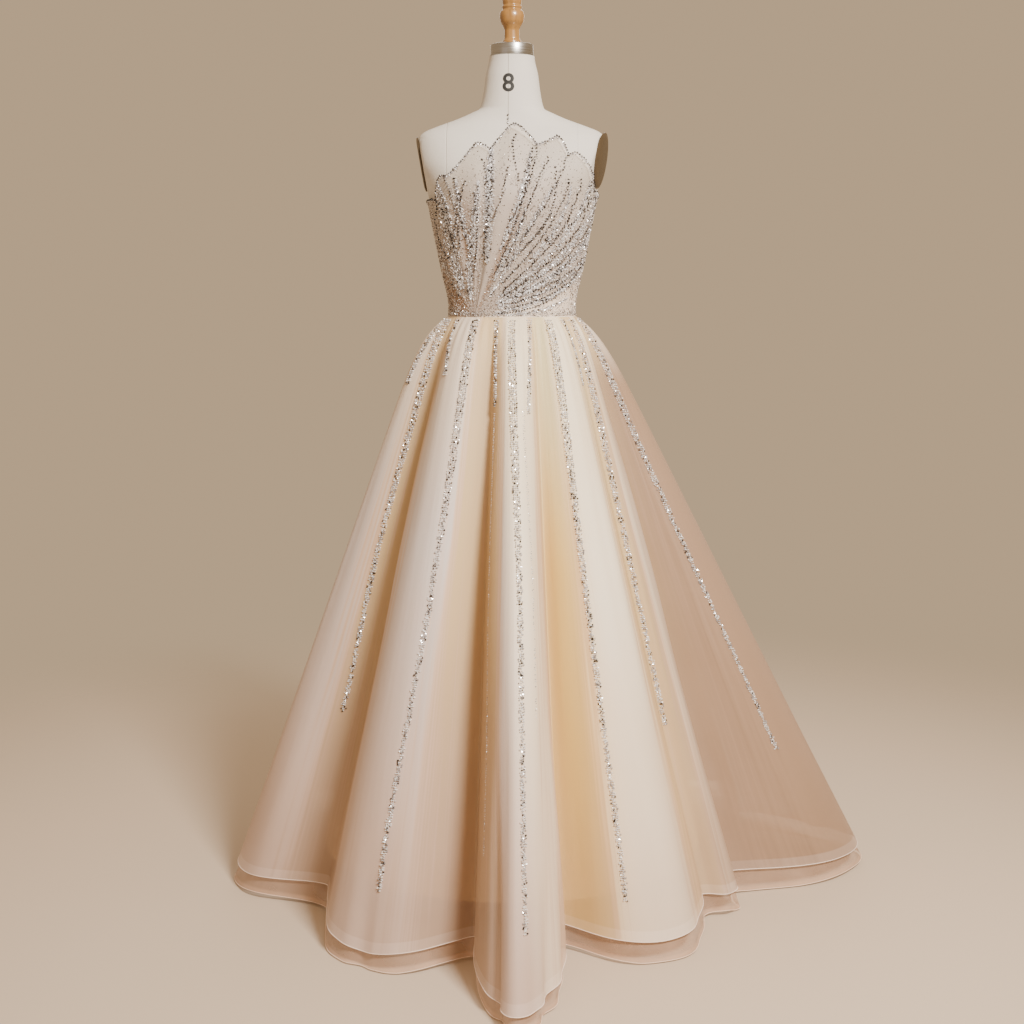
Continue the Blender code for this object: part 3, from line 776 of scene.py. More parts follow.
def edge_roll(name, points, outward, radius, sides, finish, closed):
    """A thin rolled edge along a line of points: a small ring carried along it, standing square to it."""
    count = len(points)
    ahead = np.roll(points, -1, axis=0) - np.roll(points, 1, axis=0)
    if not closed:
        ahead[0] = points[1] - points[0]
        ahead[-1] = points[-1] - points[-2]
    ahead = unit(ahead)
    out = unit(outward - ahead * np.sum(outward * ahead, axis=-1, keepdims=True))
    side = np.cross(ahead, out)
    shape = bmesh.new()
    bmesh.ops.create_grid(shape, x_segments=count if closed else count - 1, y_segments=sides, size=0.5)
    for vertex in shape.verts:
        step = round((vertex.co.x + 0.5) * (count if closed else count - 1)) % count
        angle = 2 * math.pi * round((vertex.co.y + 0.5) * sides) / sides
        vertex.co = points[step] + radius * (out[step] * math.cos(angle) + side[step] * math.sin(angle))
    bmesh.ops.remove_doubles(shape, verts=shape.verts, dist=radius * 0.02)
    if not closed:
        bmesh.ops.holes_fill(shape, edges=[edge for edge in shape.edges if edge.is_boundary], sides=0)
    return finish_piece(name, shape, finish, recalculate=True)


def spun(name, profile, finish, sharp_degrees=35):
    """Spins a profile of (radius, height) pairs round the upright axis."""
    shape = bmesh.new()
    points = [shape.verts.new((radius, 0.0, z)) for radius, z in profile]
    edges = [shape.edges.new(pair) for pair in zip(points, points[1:])]
    bmesh.ops.spin(
        shape,
        geom=points + edges,
        axis=(0, 0, 1),
        cent=(0, 0, 0),
        angle=2 * math.pi,
        steps=ROUND_STEPS,
        use_merge=True,
    )
    bmesh.ops.remove_doubles(shape, verts=shape.verts, dist=0.00002)
    return finish_piece(name, shape, finish, sharp_degrees=sharp_degrees, recalculate=True)


def seed_bead(kind):
    """The small shape that every bead of a kind repeats."""
    shape = bmesh.new()
    if kind == "crystal":
        bmesh.ops.create_uvsphere(shape, u_segments=4, v_segments=2, radius=1.0)
    else:
        bmesh.ops.create_icosphere(shape, subdivisions=1, radius=1.0)
        bmesh.ops.scale(shape, vec=(0.9, 0.9, 1.4), verts=shape.verts)
    mesh = bpy.data.meshes.new(kind)
    shape.to_mesh(mesh)
    shape.free()
    return linked(kind, mesh)


def bead_scatterer(bead):
    """A node group that sets the bead at every point, turned and sized by the point's own values."""
    tree = bpy.data.node_groups.new("Beads on points", "GeometryNodeTree")
    tree.interface.new_socket("Points", in_out="INPUT", socket_type="NodeSocketGeometry")
    tree.interface.new_socket("Beads", in_out="OUTPUT", socket_type="NodeSocketGeometry")
    entry = tree.nodes.new("NodeGroupInput")
    leave = tree.nodes.new("NodeGroupOutput")
    source = tree.nodes.new("GeometryNodeObjectInfo")
    source.inputs["Object"].default_value = bead
    place = tree.nodes.new("GeometryNodeInstanceOnPoints")
    for mark, kind, socket in (("turn", "FLOAT_VECTOR", "Rotation"), ("size", "FLOAT", "Scale")):
        reader = tree.nodes.new("GeometryNodeInputNamedAttribute")
        reader.data_type = kind
        reader.inputs["Name"].default_value = mark
        tree.links.new(reader.outputs["Attribute"], place.inputs[socket])
    real = tree.nodes.new("GeometryNodeRealizeInstances")
    tree.links.new(entry.outputs[0], place.inputs["Points"])
    tree.links.new(source.outputs["Geometry"], place.inputs["Instance"])
    tree.links.new(place.outputs["Instances"], real.inputs["Geometry"])
    tree.links.new(real.outputs["Geometry"], leave.inputs[0])
    return tree


def sew_beads(name, kind, places, sizes, tones, finish, seed):
    """One piece made of many beads, each at its place with its own size, turn and tone."""
    chance = np.random.default_rng(seed)
    count = len(places)
    mesh = bpy.data.meshes.new(name + " points")
    mesh.vertices.add(count)
    mesh.vertices.foreach_set("co", np.asarray(places, np.float32).ravel())
    turns = chance.uniform(0, 2 * np.pi, (count, 3))
    for mark, kind_of_mark, field, values in (
        ("turn", "FLOAT_VECTOR", "vector", turns),
        ("size", "FLOAT", "value", sizes),
        ("tone", "FLOAT", "value", tones),
    ):
        layer = mesh.attributes.new(mark, kind_of_mark, "POINT")
        layer.data.foreach_set(field, np.asarray(values, np.float32).ravel())
    carrier = linked(name + " points", mesh)
    bead = seed_bead(kind)
    modifier = carrier.modifiers.new("Beads", "NODES")
    modifier.node_group = bead_scatterer(bead)
    bpy.context.view_layer.update()
    graph = bpy.context.evaluated_depsgraph_get()
    made = bpy.data.meshes.new_from_object(carrier.evaluated_get(graph))
    made.name = name
    made.materials.clear()
    made.materials.append(finish)
    bpy.data.objects.remove(carrier)
    bpy.data.objects.remove(bead)
    piece = linked(name, made)
    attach(piece, "root")
    return piece


# Finishes

def new_finish(name, colour, roughness, metallic=0.0):
    """A Principled material and its node tree, with the values that are the same all over."""
    made = bpy.data.materials.new(name)
    made.use_nodes = True
    shader = made.node_tree.nodes["Principled BSDF"]
    shader.inputs["Base Color"].default_value = (*colour, 1.0)
    shader.inputs["Roughness"].default_value = roughness
    shader.inputs["Metallic"].default_value = metallic
    return made, made.node_tree, shader


def read_mark(tree, name):
    node = tree.nodes.new("ShaderNodeAttribute")
    node.attribute_name = name
    return node.outputs["Fac"]


def object_place(tree):
    return tree.nodes.new("ShaderNodeTexCoord").outputs["Object"]


def cloth_place(tree):
    return tree.nodes.new("ShaderNodeTexCoord").outputs["UV"]


def mixed_colour(tree, share, first, second):
    """A colour mix; each side is a socket or a colour."""
    node = tree.nodes.new("ShaderNodeMix")
    node.data_type = "RGBA"
    tree.links.new(share, node.inputs["Factor"])
    for socket, value in ((node.inputs[6], first), (node.inputs[7], second)):
        if isinstance(value, bpy.types.NodeSocket):
            tree.links.new(value, socket)
        else:
            socket.default_value = (*value, 1.0)
    return node.outputs[2]


def ramp(tree, value, low, high, out_low=0.0, out_high=1.0):
    node = tree.nodes.new("ShaderNodeMapRange")
    node.interpolation_type = "SMOOTHSTEP"
    tree.links.new(value, node.inputs["Value"])
    for name, number in (("From Min", low), ("From Max", high), ("To Min", out_low), ("To Max", out_high)):
        node.inputs[name].default_value = number
    return node.outputs["Result"]


def arithmetic(tree, operation, first, second):
    node = tree.nodes.new("ShaderNodeMath")
    node.operation = operation
    for socket, value in ((node.inputs[0], first), (node.inputs[1], second)):
        if isinstance(value, bpy.types.NodeSocket):
            tree.links.new(value, socket)
        else:
            socket.default_value = value
    return node.outputs[0]


def stretched(tree, vector, scale):
    node = tree.nodes.new("ShaderNodeMapping")
    node.inputs["Scale"].default_value = scale
    tree.links.new(vector, node.inputs["Vector"])
    return node.outputs["Vector"]


def tint_group():
    """Two colours mixed by a soft noise, with the noise's own value for gloss or height."""
    found = bpy.data.node_groups.get("Uneven tint")
    if found:
        return found
    tree = bpy.data.node_groups.new("Uneven tint", "ShaderNodeTree")
    for name, kind in (
        ("Place", "NodeSocketVector"),
        ("Scale", "NodeSocketFloat"),
        ("Detail", "NodeSocketFloat"),
        ("First", "NodeSocketColor"),
        ("Second", "NodeSocketColor"),
    ):
        tree.interface.new_socket(name, in_out="INPUT", socket_type=kind)
    tree.interface.new_socket("Colour", in_out="OUTPUT", socket_type="NodeSocketColor")
    tree.interface.new_socket("Share", in_out="OUTPUT", socket_type="NodeSocketFloat")
    entry = tree.nodes.new("NodeGroupInput")
    leave = tree.nodes.new("NodeGroupOutput")
    cloud = tree.nodes.new("ShaderNodeTexNoise")
    for name, socket in (("Place", "Vector"), ("Scale", "Scale"), ("Detail", "Detail")):
        tree.links.new(entry.outputs[name], cloud.inputs[socket])
    colour = mixed_colour(tree, cloud.outputs["Fac"], entry.outputs["First"], entry.outputs["Second"])
    tree.links.new(colour, leave.inputs["Colour"])
    tree.links.new(cloud.outputs["Fac"], leave.inputs["Share"])
    return tree


def uneven(tree, place, scale, detail, first, second):
    """The uneven tint's colour and share at a place."""
    group = tree.nodes.new("ShaderNodeGroup")
    group.node_tree = tint_group()
    group.inputs["Scale"].default_value = scale
    group.inputs["Detail"].default_value = detail
    group.inputs["First"].default_value = (*first, 1.0)
    group.inputs["Second"].default_value = (*second, 1.0)
    tree.links.new(place, group.inputs["Place"])
    return group.outputs["Colour"], group.outputs["Share"]


def weave_group():
    """Crossed threads as a height and a tint, from any two-way place on the cloth."""
    found = bpy.data.node_groups.get("Woven threads")
    if found:
        return found
    tree = bpy.data.node_groups.new("Woven threads", "ShaderNodeTree")
    tree.interface.new_socket("Place", in_out="INPUT", socket_type="NodeSocketVector")
    tree.interface.new_socket("Threads per metre", in_out="INPUT", socket_type="NodeSocketFloat")
    tree.interface.new_socket("Height", in_out="OUTPUT", socket_type="NodeSocketFloat")
    entry = tree.nodes.new("NodeGroupInput")
    leave = tree.nodes.new("NodeGroupOutput")
    waves = []
    for direction in ("X", "Y"):
        wave = tree.nodes.new("ShaderNodeTexWave")
        wave.bands_direction = direction
        wave.inputs["Distortion"].default_value = 0.4
        tree.links.new(entry.outputs["Place"], wave.inputs["Vector"])
        tree.links.new(entry.outputs["Threads per metre"], wave.inputs["Scale"])
        waves.append(wave.outputs["Fac"])
    tree.links.new(arithmetic(tree, "MAXIMUM", *waves), leave.inputs["Height"])
    return tree


def tint(tree, shader, place, scale, detail, first, second, gloss=None):
    """Colours a finish unevenly, and spreads its roughness between two values where they are given."""
    colour, share = uneven(tree, place, scale, detail, first, second)
    tree.links.new(colour, shader.inputs["Base Color"])
    if gloss:
        tree.links.new(ramp(tree, share, 0.3, 0.7, *gloss), shader.inputs["Roughness"])
    return share


def add_weave(tree, shader, place, threads, strength, height=None):
    """Bumps the finish with woven threads, and with another height where one is given."""
    group = tree.nodes.new("ShaderNodeGroup")
    group.node_tree = weave_group()
    group.inputs["Threads per metre"].default_value = threads
    tree.links.new(place, group.inputs["Place"])
    bump = tree.nodes.new("ShaderNodeBump")
    bump.inputs["Strength"].default_value = strength
    bump.inputs["Distance"].default_value = 0.0004
    tree.links.new(group.outputs["Height"], bump.inputs["Height"])
    if height is not None:
        coarse = tree.nodes.new("ShaderNodeBump")
        coarse.inputs["Strength"].default_value = 0.5
        coarse.inputs["Distance"].default_value = 0.003
        tree.links.new(height, coarse.inputs["Height"])
        tree.links.new(coarse.outputs["Normal"], bump.inputs["Normal"])
    tree.links.new(bump.outputs["Normal"], shader.inputs["Normal"])
    return group.outputs["Height"]


def overlay_finish(colours):
    """Sheer crisp cloth: gold in the valleys, peach where it turns, ivory and lilac on the ridges, with
    painted shade and painted light over them.
    """
    finish, tree, shader = new_finish("overlay_organza", (0.8, 0.75, 0.7), 0.42)
    ridge = read_mark(tree, "ridge")
    drop = read_mark(tree, "drop")
    place = cloth_place(tree)
    around = object_place(tree)
    cool_tint, _ = uneven(tree, around, 6.0, 3.0, tuple(colours.overlay_ridge), (0.76, 0.62, 0.55))
    # The warm ridge colours are brighter: partly painted light on the flutes that the key light reaches
    lit_warm_tint, _ = uneven(tree, around, 6.0, 3.0, (1.0, 0.90, 0.72), (1.0, 0.82, 0.60))
    _, streaks = uneven(tree, stretched(tree, place, (9.0, 0.55, 1.0)), 3.0, 4.0, (0, 0, 0), (1, 1, 1))
    _, threads = uneven(tree, stretched(tree, place, (42.0, 0.40, 1.0)), 3.0, 2.0, (0, 0, 0), (1, 1, 1))
    wide = arithmetic(tree, "MULTIPLY", arithmetic(tree, "SUBTRACT", streaks, 0.5), 1.15)
    fine = arithmetic(tree, "MULTIPLY", arithmetic(tree, "SUBTRACT", threads, 0.5), 0.8)
    share = arithmetic(tree, "ADD", ridge, arithmetic(tree, "ADD", wide, fine))
    warm = read_mark(tree, "warm")
    ridge_tint = mixed_colour(tree, warm, cool_tint, lit_warm_tint)
    valley = tuple(colours.overlay_valley)
    turned = mixed_colour(tree, ramp(tree, share, 0.05, 0.38), valley, (0.90, 0.62, 0.42))
    body = mixed_colour(tree, ramp(tree, share, 0.36, 0.74), turned, ridge_tint)
    upper = mixed_colour(tree, ramp(tree, drop, 0.02, 0.40, 0.4, 0.0), body, (0.97, 0.80, 0.52))
    # Painted shade: darker mauve-brown towards the hem, half as much on the warm ridges
    less_shade_where_warm = ramp(tree, warm, 0.0, 1.0, 1.0, 0.5)
    low_shade_share = arithmetic(tree, "MULTIPLY", ramp(tree, drop, 0.35, 0.95, 0.0, 0.85), less_shade_where_warm)
    lower = mixed_colour(tree, low_shade_share, upper, (0.66, 0.47, 0.37))
    # Gold where the satin shows through, brightened as painted light: paler near the waist, deeper below
    lit_gold_tint = mixed_colour(tree, ramp(tree, drop, 0.10, 0.45), (1.0, 0.90, 0.52), (1.0, 0.68, 0.17))
    gilded_and_lit = mixed_colour(tree, read_mark(tree, "gold"), lower, lit_gold_tint)
    shaded = mixed_colour(tree, read_mark(tree, "shade"), gilded_and_lit, (0.38, 0.24, 0.15))
    facing = mixed_colour(tree, ramp(tree, drop, 0.983, 0.985, 0.0, 0.14), shaded, (0.95, 0.84, 0.80))
    tree.links.new(facing, shader.inputs["Base Color"])
    open_low = ramp(tree, drop, 0.78, 1.0, 1.0, 0.84)
    cover = arithmetic(tree, "MULTIPLY", ramp(tree, share, 0.05, 0.75, 0.60, 0.90), open_low)
    cover = arithmetic(tree, "ADD", cover, ramp(tree, drop, 0.983, 0.985, 0.0, 0.06))
    cover = arithmetic(tree, "ADD", cover, ramp(tree, warm, 0.0, 1.0, 0.0, 0.06))
    tree.links.new(cover, shader.inputs["Alpha"])
    shader.inputs["Sheen Weight"].default_value = 0.25
    shader.inputs["Sheen Roughness"].default_value = 0.35
    shader.inputs["Sheen Tint"].default_value = (1.0, 0.66, 0.46, 1.0)
    shader.inputs["Specular IOR Level"].default_value = 0.35
    add_weave(tree, shader, place, 900.0, 0.25, streaks)
    return finish


def net_finish(colours):
    """Soft net: brownish peach, the brown partly painted shade of the shadow it hangs in near the floor, very
    open, paler at its folded edge.
    """
    finish, tree, shader = new_finish("underlayer_net", tuple(colours.net), 0.6)
    drop = read_mark(tree, "drop")
    clouds = tint(tree, shader, object_place(tree), 9.0, 3.0, tuple(colours.net), (0.74, 0.50, 0.35))
    cover = ramp(tree, clouds, 0.3, 0.7, 0.34, 0.50)
    cover = arithmetic(tree, "ADD", cover, ramp(tree, drop, 0.990, 0.996, 0.0, 0.25))
    tree.links.new(cover, shader.inputs["Alpha"])
    shader.inputs["Sheen Weight"].default_value = 0.15
    add_weave(tree, shader, cloth_place(tree), 500.0, 0.2)
    return finish


def lining_finish(colours):
    """Plain satin: gold, with a soft gloss and slow slubs."""
    finish, tree, shader = new_finish("lining_satin", tuple(colours.lining), 0.34)
    place = cloth_place(tree)
    slubs = stretched(tree, place, (30.0, 2.0, 1.0))
    tint(tree, shader, slubs, 4.0, 2.0, tuple(colours.lining), (0.98, 0.76, 0.40), (0.30, 0.42))
    shader.inputs["Sheen Weight"].default_value = 0.3
    add_weave(tree, shader, place, 1200.0, 0.15)
    return finish


def bodice_finish(colours):
    """Sheer cloth over a firm shape: pale at the petals and the right, browner with painted shade in folds
    and at the left.
    """
    finish, tree, shader = new_finish("bodice_organza", tuple(colours.bodice), 0.5)
    fold = read_mark(tree, "fold")
    rise = read_mark(tree, "rise")
    shade = read_mark(tree, "shade")
    sheer = read_mark(tree, "sheer")
    body, clouds = uneven(tree, object_place(tree), 28.0, 3.0, tuple(colours.bodice), (0.55, 0.47, 0.41))
    # Painted shade: browner in the low valleys between the fan's folds
    fold_shaded = mixed_colour(tree, ramp(tree, fold, 0.0, 0.55, 0.45, 0.0), body, tuple(colours.bodice_valley))
    shaded = mixed_colour(tree, shade, fold_shaded, tuple(colours.bodice_valley))
    waist = mixed_colour(tree, sheer, shaded, (0.95, 0.80, 0.66))
    petals = mixed_colour(tree, ramp(tree, rise, 0.66, 1.0, 0.0, 0.6), waist, (0.76, 0.68, 0.58))
    tree.links.new(petals, shader.inputs["Base Color"])
    tree.links.new(ramp(tree, rise, 0.72, 0.98, 0.97, 0.60), shader.inputs["Alpha"])
    shader.inputs["Sheen Weight"].default_value = 0.25
    add_weave(tree, shader, object_place(tree), 900.0, 0.25, clouds)
    return finish


def bead_finish(name, dark, middle, light, roughness, metallic):
    """Faceted beads whose tone changes from one to the next, from dark through grey to bright."""
    finish, tree, shader = new_finish(name, light, roughness, metallic)
    tone = read_mark(tree, "tone")
    low = mixed_colour(tree, ramp(tree, tone, 0.0, 0.35), dark, middle)
    toned = mixed_colour(tree, ramp(tree, tone, 0.55, 0.95), low, light)
    grain_tint, grain = uneven(tree, object_place(tree), 900.0, 1.0, (0.90, 0.90, 0.90), (1.0, 1.0, 1.0))
    mixed = tree.nodes.new("ShaderNodeMix")
    mixed.data_type = "RGBA"
    mixed.blend_type = "MULTIPLY"
    mixed.inputs["Factor"].default_value = 1.0
    tree.links.new(toned, mixed.inputs[6])
    tree.links.new(grain_tint, mixed.inputs[7])
    tree.links.new(mixed.outputs[2], shader.inputs["Base Color"])
    tree.links.new(ramp(tree, grain, 0.3, 0.7, roughness * 0.7, roughness * 1.5), shader.inputs["Roughness"])
    return finish


def form_finish(colours):
    """Off-white cotton stretched over the form, with its sewn seams and a little handling dirt."""
    finish, tree, shader = new_finish("form_cloth", tuple(colours.form), 0.85)
    place = object_place(tree)
    split = tree.nodes.new("ShaderNodeSeparateXYZ")
    tree.links.new(place, split.inputs[0])
    seam = None
    for x, strength in ((-0.008, 1.0), (-0.128, 0.5), (0.128, 0.3)):
        away = arithmetic(tree, "ABSOLUTE", arithmetic(tree, "SUBTRACT", split.outputs["X"], x), 0.0)
        line = ramp(tree, away, 0.0, 0.0016, strength, 0.0)
        seam = line if seam is None else arithmetic(tree, "MAXIMUM", seam, line)
    cotton, soft = uneven(tree, place, 7.0, 4.0, tuple(colours.form), (0.69, 0.65, 0.59))
    sewn = mixed_colour(tree, arithmetic(tree, "MULTIPLY", seam, 0.45), cotton, (0.45, 0.40, 0.34))
    tree.links.new(sewn, shader.inputs["Base Color"])
    tree.links.new(ramp(tree, soft, 0.3, 0.7, 0.78, 0.92), shader.inputs["Roughness"])
    add_weave(tree, shader, place, 700.0, 0.35, arithmetic(tree, "SUBTRACT", 1.0, seam))
    return finish


def steel_finish():
    """Brushed steel, its fine scratches running round."""
    finish, tree, shader = new_finish("cap_steel", (0.55, 0.54, 0.52), 0.28, 1.0)
    scratches = stretched(tree, object_place(tree), (2.0, 2.0, 900.0))
    tint(tree, shader, scratches, 4.0, 3.0, (0.32, 0.31, 0.30), (0.58, 0.57, 0.55), (0.20, 0.38))
    return finish


def wood_finish(colours):
    """Honey-coloured turned wood under clear varnish."""
    finish, tree, shader = new_finish("turned_wood", tuple(colours.wood), 0.3)
    along = stretched(tree, object_place(tree), (60.0, 60.0, 6.0))
    tint(tree, shader, along, 3.0, 5.0, (0.17, 0.08, 0.022), tuple(colours.wood), (0.24, 0.40))
    shader.inputs["Coat Weight"].default_value = 0.7
    shader.inputs["Coat Roughness"].default_value = 0.10
    return finish


def plate_finish():
    """Dark brown polished plates with faint rub marks."""
    finish, tree, shader = new_finish("plate_brown", (0.10, 0.06, 0.03), 0.30)
    shader.inputs["Specular IOR Level"].default_value = 0.22
    place = object_place(tree)
    tint(tree, shader, place, 60.0, 4.0, (0.055, 0.038, 0.020), (0.10, 0.068, 0.038), (0.26, 0.40))
    return finish


def stand_finish():
    """Dark painted metal with slight orange peel and dust."""
    finish, tree, shader = new_finish("stand_metal", (0.12, 0.11, 0.11), 0.45, 0.6)
    place = object_place(tree)
    tint(tree, shader, place, 40.0, 4.0, (0.09, 0.085, 0.085), (0.17, 0.16, 0.15), (0.35, 0.55))
    return finish


# Sizes and colours that can be changed

class GownSettings(bpy.types.PropertyGroup):
    bead_radius: bpy.props.FloatProperty(
        name="Bead radius",
        description="Half the size of a skirt bead",
        default=0.0021,
        min=0.0005,
        unit="LENGTH",
    )
    bead_spacing: bpy.props.FloatProperty(
        name="Bead spacing",
        description="Distance between beads in a row",
        default=0.0041,
        min=0.002,
        unit="LENGTH",
    )
    row_spacing: bpy.props.FloatProperty(
        name="Row spacing",
        description="Distance between rows of a line",
        default=0.0033,
        min=0.002,
        unit="LENGTH",
    )
    overlay_ridge: bpy.props.FloatVectorProperty(
        name="Overlay ridge",
        description="Sheer cloth where it stands out",
        default=(0.75, 0.67, 0.64),
        subtype="COLOR",
    )
    overlay_valley: bpy.props.FloatVectorProperty(
        name="Overlay valley",
        description="Sheer cloth over the satin",
        default=(1.0, 0.73, 0.38),
        subtype="COLOR",
    )
    net: bpy.props.FloatVectorProperty(
        name="Net", description="Soft underlayer", default=(0.60, 0.36, 0.23), subtype="COLOR"
    )
    lining: bpy.props.FloatVectorProperty(
        name="Lining", description="Gold satin", default=(1.0, 0.70, 0.28), subtype="COLOR"
    )
    bodice: bpy.props.FloatVectorProperty(
        name="Bodice", description="Champagne cloth", default=(0.45, 0.37, 0.32), subtype="COLOR"
    )
    bodice_valley: bpy.props.FloatVectorProperty(
        name="Bodice valley",
        description="Shaded cloth between folds",
        default=(0.33, 0.20, 0.12),
        subtype="COLOR",
    )
    form: bpy.props.FloatVectorProperty(
        name="Form", description="Cotton of the dress form", default=(0.73, 0.69, 0.64), subtype="COLOR"
    )
    wood: bpy.props.FloatVectorProperty(
        name="Wood", description="Turned finial", default=(0.46, 0.23, 0.06), subtype="COLOR"
    )
    floor: bpy.props.FloatVectorProperty(
        name="Floor", description="Plain floor", default=(0.63, 0.51, 0.39), subtype="COLOR"
    )
    wall: bpy.props.FloatVectorProperty(
        name="Surround", description="Plain light all round", default=(0.575, 0.41, 0.25), subtype="COLOR"
    )


# Operators, one to each piece or group of like pieces

class GOWN_OT_form(bpy.types.Operator):
    """Builds the limbless form's torso and neck, with the plain size number on the neck"""

    bl_idname = "gown.form"
    bl_label = "Dress Form"

    def execute(self, context):
        colours = context.scene.gown
        heights = np.concatenate(
            [
                np.arange(0.860, 1.500, 0.010),
                np.arange(1.500, 1.566, 0.003),
                np.arange(1.566, NECK_TOP, 0.006),
                [NECK_TOP],
            ]
        )
        sides = 128
        shape = bmesh.new()
        rings = []
        for z in heights:
            made = bmesh.ops.create_circle(shape, cap_ends=False, segments=sides, radius=1.0)
            degrees = np.array([math.degrees(math.atan2(v.co.x, -v.co.y)) for v in made["verts"]])
            for vertex, place in zip(made["verts"], form_point(degrees, z)):
                vertex.co = place
            rings.append(list({edge for vertex in made["verts"] for edge in vertex.link_edges}))
        for lower, upper in zip(rings, rings[1:]):
            bmesh.ops.bridge_loops(shape, edges=lower + upper)
        bmesh.ops.contextual_create(shape, geom=rings[0])
        bmesh.ops.contextual_create(shape, geom=rings[-1])
        torso = finish_piece("form_body", shape, form_finish(colours), sharp_degrees=50, recalculate=True)
        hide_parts("form_torso")
        self.add_number()
        return {"FINISHED"}

    def add_number(self):
        """A plain black size number, wrapped on the neck."""
        curve = bpy.data.curves.new("size number", "FONT")
        curve.body = "8"
        curve.size = NUMBER_SIZE
        curve.offset = NUMBER_BOLDNESS
        curve.align_x = "CENTER"
        curve.align_y = "CENTER"
        curve.resolution_u = 8
        holder = linked("size number", curve)
        bpy.context.view_layer.update()
        graph = bpy.context.evaluated_depsgraph_get()
        flat = bpy.data.meshes.new_from_object(holder.evaluated_get(graph))
        bpy.data.objects.remove(holder)
        shape = bmesh.new()
        shape.from_mesh(flat)
        bmesh.ops.triangulate(shape, faces=shape.faces)
        long_edges = [edge for edge in shape.edges if edge.calc_length() > 0.004]
        bmesh.ops.subdivide_edges(shape, edges=long_edges, cuts=2)
        bmesh.ops.triangulate(shape, faces=shape.faces)
        for vertex in shape.verts:
            z = NUMBER_Z + vertex.co.y
            degrees = float(form_degrees(np.array(NUMBER_X + vertex.co.x), np.array(z)))
            outward = form_normal(np.array(degrees), np.array(z))
            vertex.co = form_point(degrees, z) + outward * NUMBER_OUT
        finish, tree, shader = new_finish("number_ink", (0.02, 0.02, 0.02), 0.6)
        tint(tree, shader, object_place(tree), 400.0, 2.0, (0.006, 0.006, 0.006), (0.03, 0.03, 0.03))
        shape.normal_update()
        if sum(face.normal.y * face.calc_area() for face in shape.faces) > 0:
            bmesh.ops.reverse_faces(shape, faces=shape.faces)
        finish_piece("size_number", shape, finish)


class GOWN_OT_fittings(bpy.types.Operator):
    """Builds the neck cap, the turned finial, the arm plates and the stand's finish"""

    bl_idname = "gown.fittings"
    bl_label = "Form Fittings"

    def execute(self, context):
        colours = context.scene.gown
        low = NECK_TOP + SEAM_GAP
        top = low + CAP_HEIGHT
        cap = spun(
            "steel_cap",
            (
                (0.0, low),
                (CAP_RADIUS - 0.0012, low),
                (CAP_RADIUS, low + 0.0008),
                (CAP_RADIUS, low + 0.0032),
                (CAP_RADIUS - 0.0007, low + 0.0038),
                (CAP_RADIUS - 0.0007, top - 0.0018),
                (CAP_RADIUS - 0.0012, top - 0.0007),
                (CAP_RADIUS - 0.0026, top),
                (0.0, top),
            ),
            steel_finish(),
        )
        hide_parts("neck_cap")
        rise = np.array([point[1] for point in FINIAL_PROFILE[2:]])
        radius = np.array([point[0] for point in FINIAL_PROFILE[2:]])
        fine = np.linspace(rise[0], rise[-1], 90)
        smooth = np.maximum(0.0, smooth_curve(rise, radius, fine))
        foot = top + SEAM_GAP
        profile = [(0.0, foot), (0.0185, foot)] + [(r, foot + z) for r, z in zip(smooth, fine)]
        profile[-1] = (0.0, profile[-1][1])
        finial = spun("turned_finial", profile, wood_finish(colours))
        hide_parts("finial")
        finish = plate_finish()
        for side, label in ((1, "right"), (-1, "left")):
            plate = self.add_plate("oval_plate_" + label, side, finish)
            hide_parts("arm_plate_" + label)
        metal = stand_finish()
        for node in ("stand_pole", "stand_base"):
            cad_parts[node].data.materials.clear()
            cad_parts[node].data.materials.append(metal)
        return {"FINISHED"}

    def add_plate(self, name, side, finish):
        shape = bmesh.new()
        bmesh.ops.create_cone(shape, cap_ends=True, segments=72, radius1=1.0, radius2=1.0, depth=1.0)
        outer = [vertex for vertex in shape.verts if vertex.co.z > 0]
        face = next(face for face in shape.faces if all(vertex in outer for vertex in face.verts))
        for vertex in shape.verts:
            vertex.co.x *= ARM_PLATE_HALF_HEIGHT
            vertex.co.y *= ARM_PLATE_HALF_DEPTH
            vertex.co.z = 0.0 if vertex.co.z < 0 else ARM_PLATE_THICKNESS - ARM_PLATE_CROWN
        for share in (0.65, 0.35):
            bmesh.ops.inset_region(
                shape,
                faces=[face],
                thickness=ARM_PLATE_BORDER / 2,
                depth=ARM_PLATE_CROWN * share,
                use_even_offset=True,
            )
        armhole = ARMHOLES[side]
        out = Vector((1.0, -armhole.turn, -armhole.lean)).normalized()
        upward = Vector((armhole.lean, 0.0, 1.0)).normalized()
        shape.transform(Matrix((upward, out.cross(upward), out)).transposed().to_4x4())
        shape.transform(Matrix.Translation(Vector((armhole.x, armhole.y, armhole.z)) + out * SEAM_GAP))
        if side < 0:
            shape.transform(Matrix.Scale(-1, 4, Vector((1, 0, 0))))
        return finish_piece(name, shape, finish, sharp_degrees=50, recalculate=True)


def bodice_shade(lean, reach):
    """How much painted shade browns the front's cloth: at the left, and in the valley beside the large smooth
    fold.
    """
    left = 0.85 * soft_step(20, 34, -lean)
    pocket = 0.55 * np.exp(-(((lean + 5.5) / 3.0) ** 2)) * (1 - soft_step(0.12, 0.26, reach))
    valley = 0.75 * np.exp(-(((lean - 22.5) / 3.0) ** 2)) * (1 - soft_step(0.12, 0.30, reach))
    return np.clip(np.maximum(np.maximum(left, pocket), valley), 0, 1)


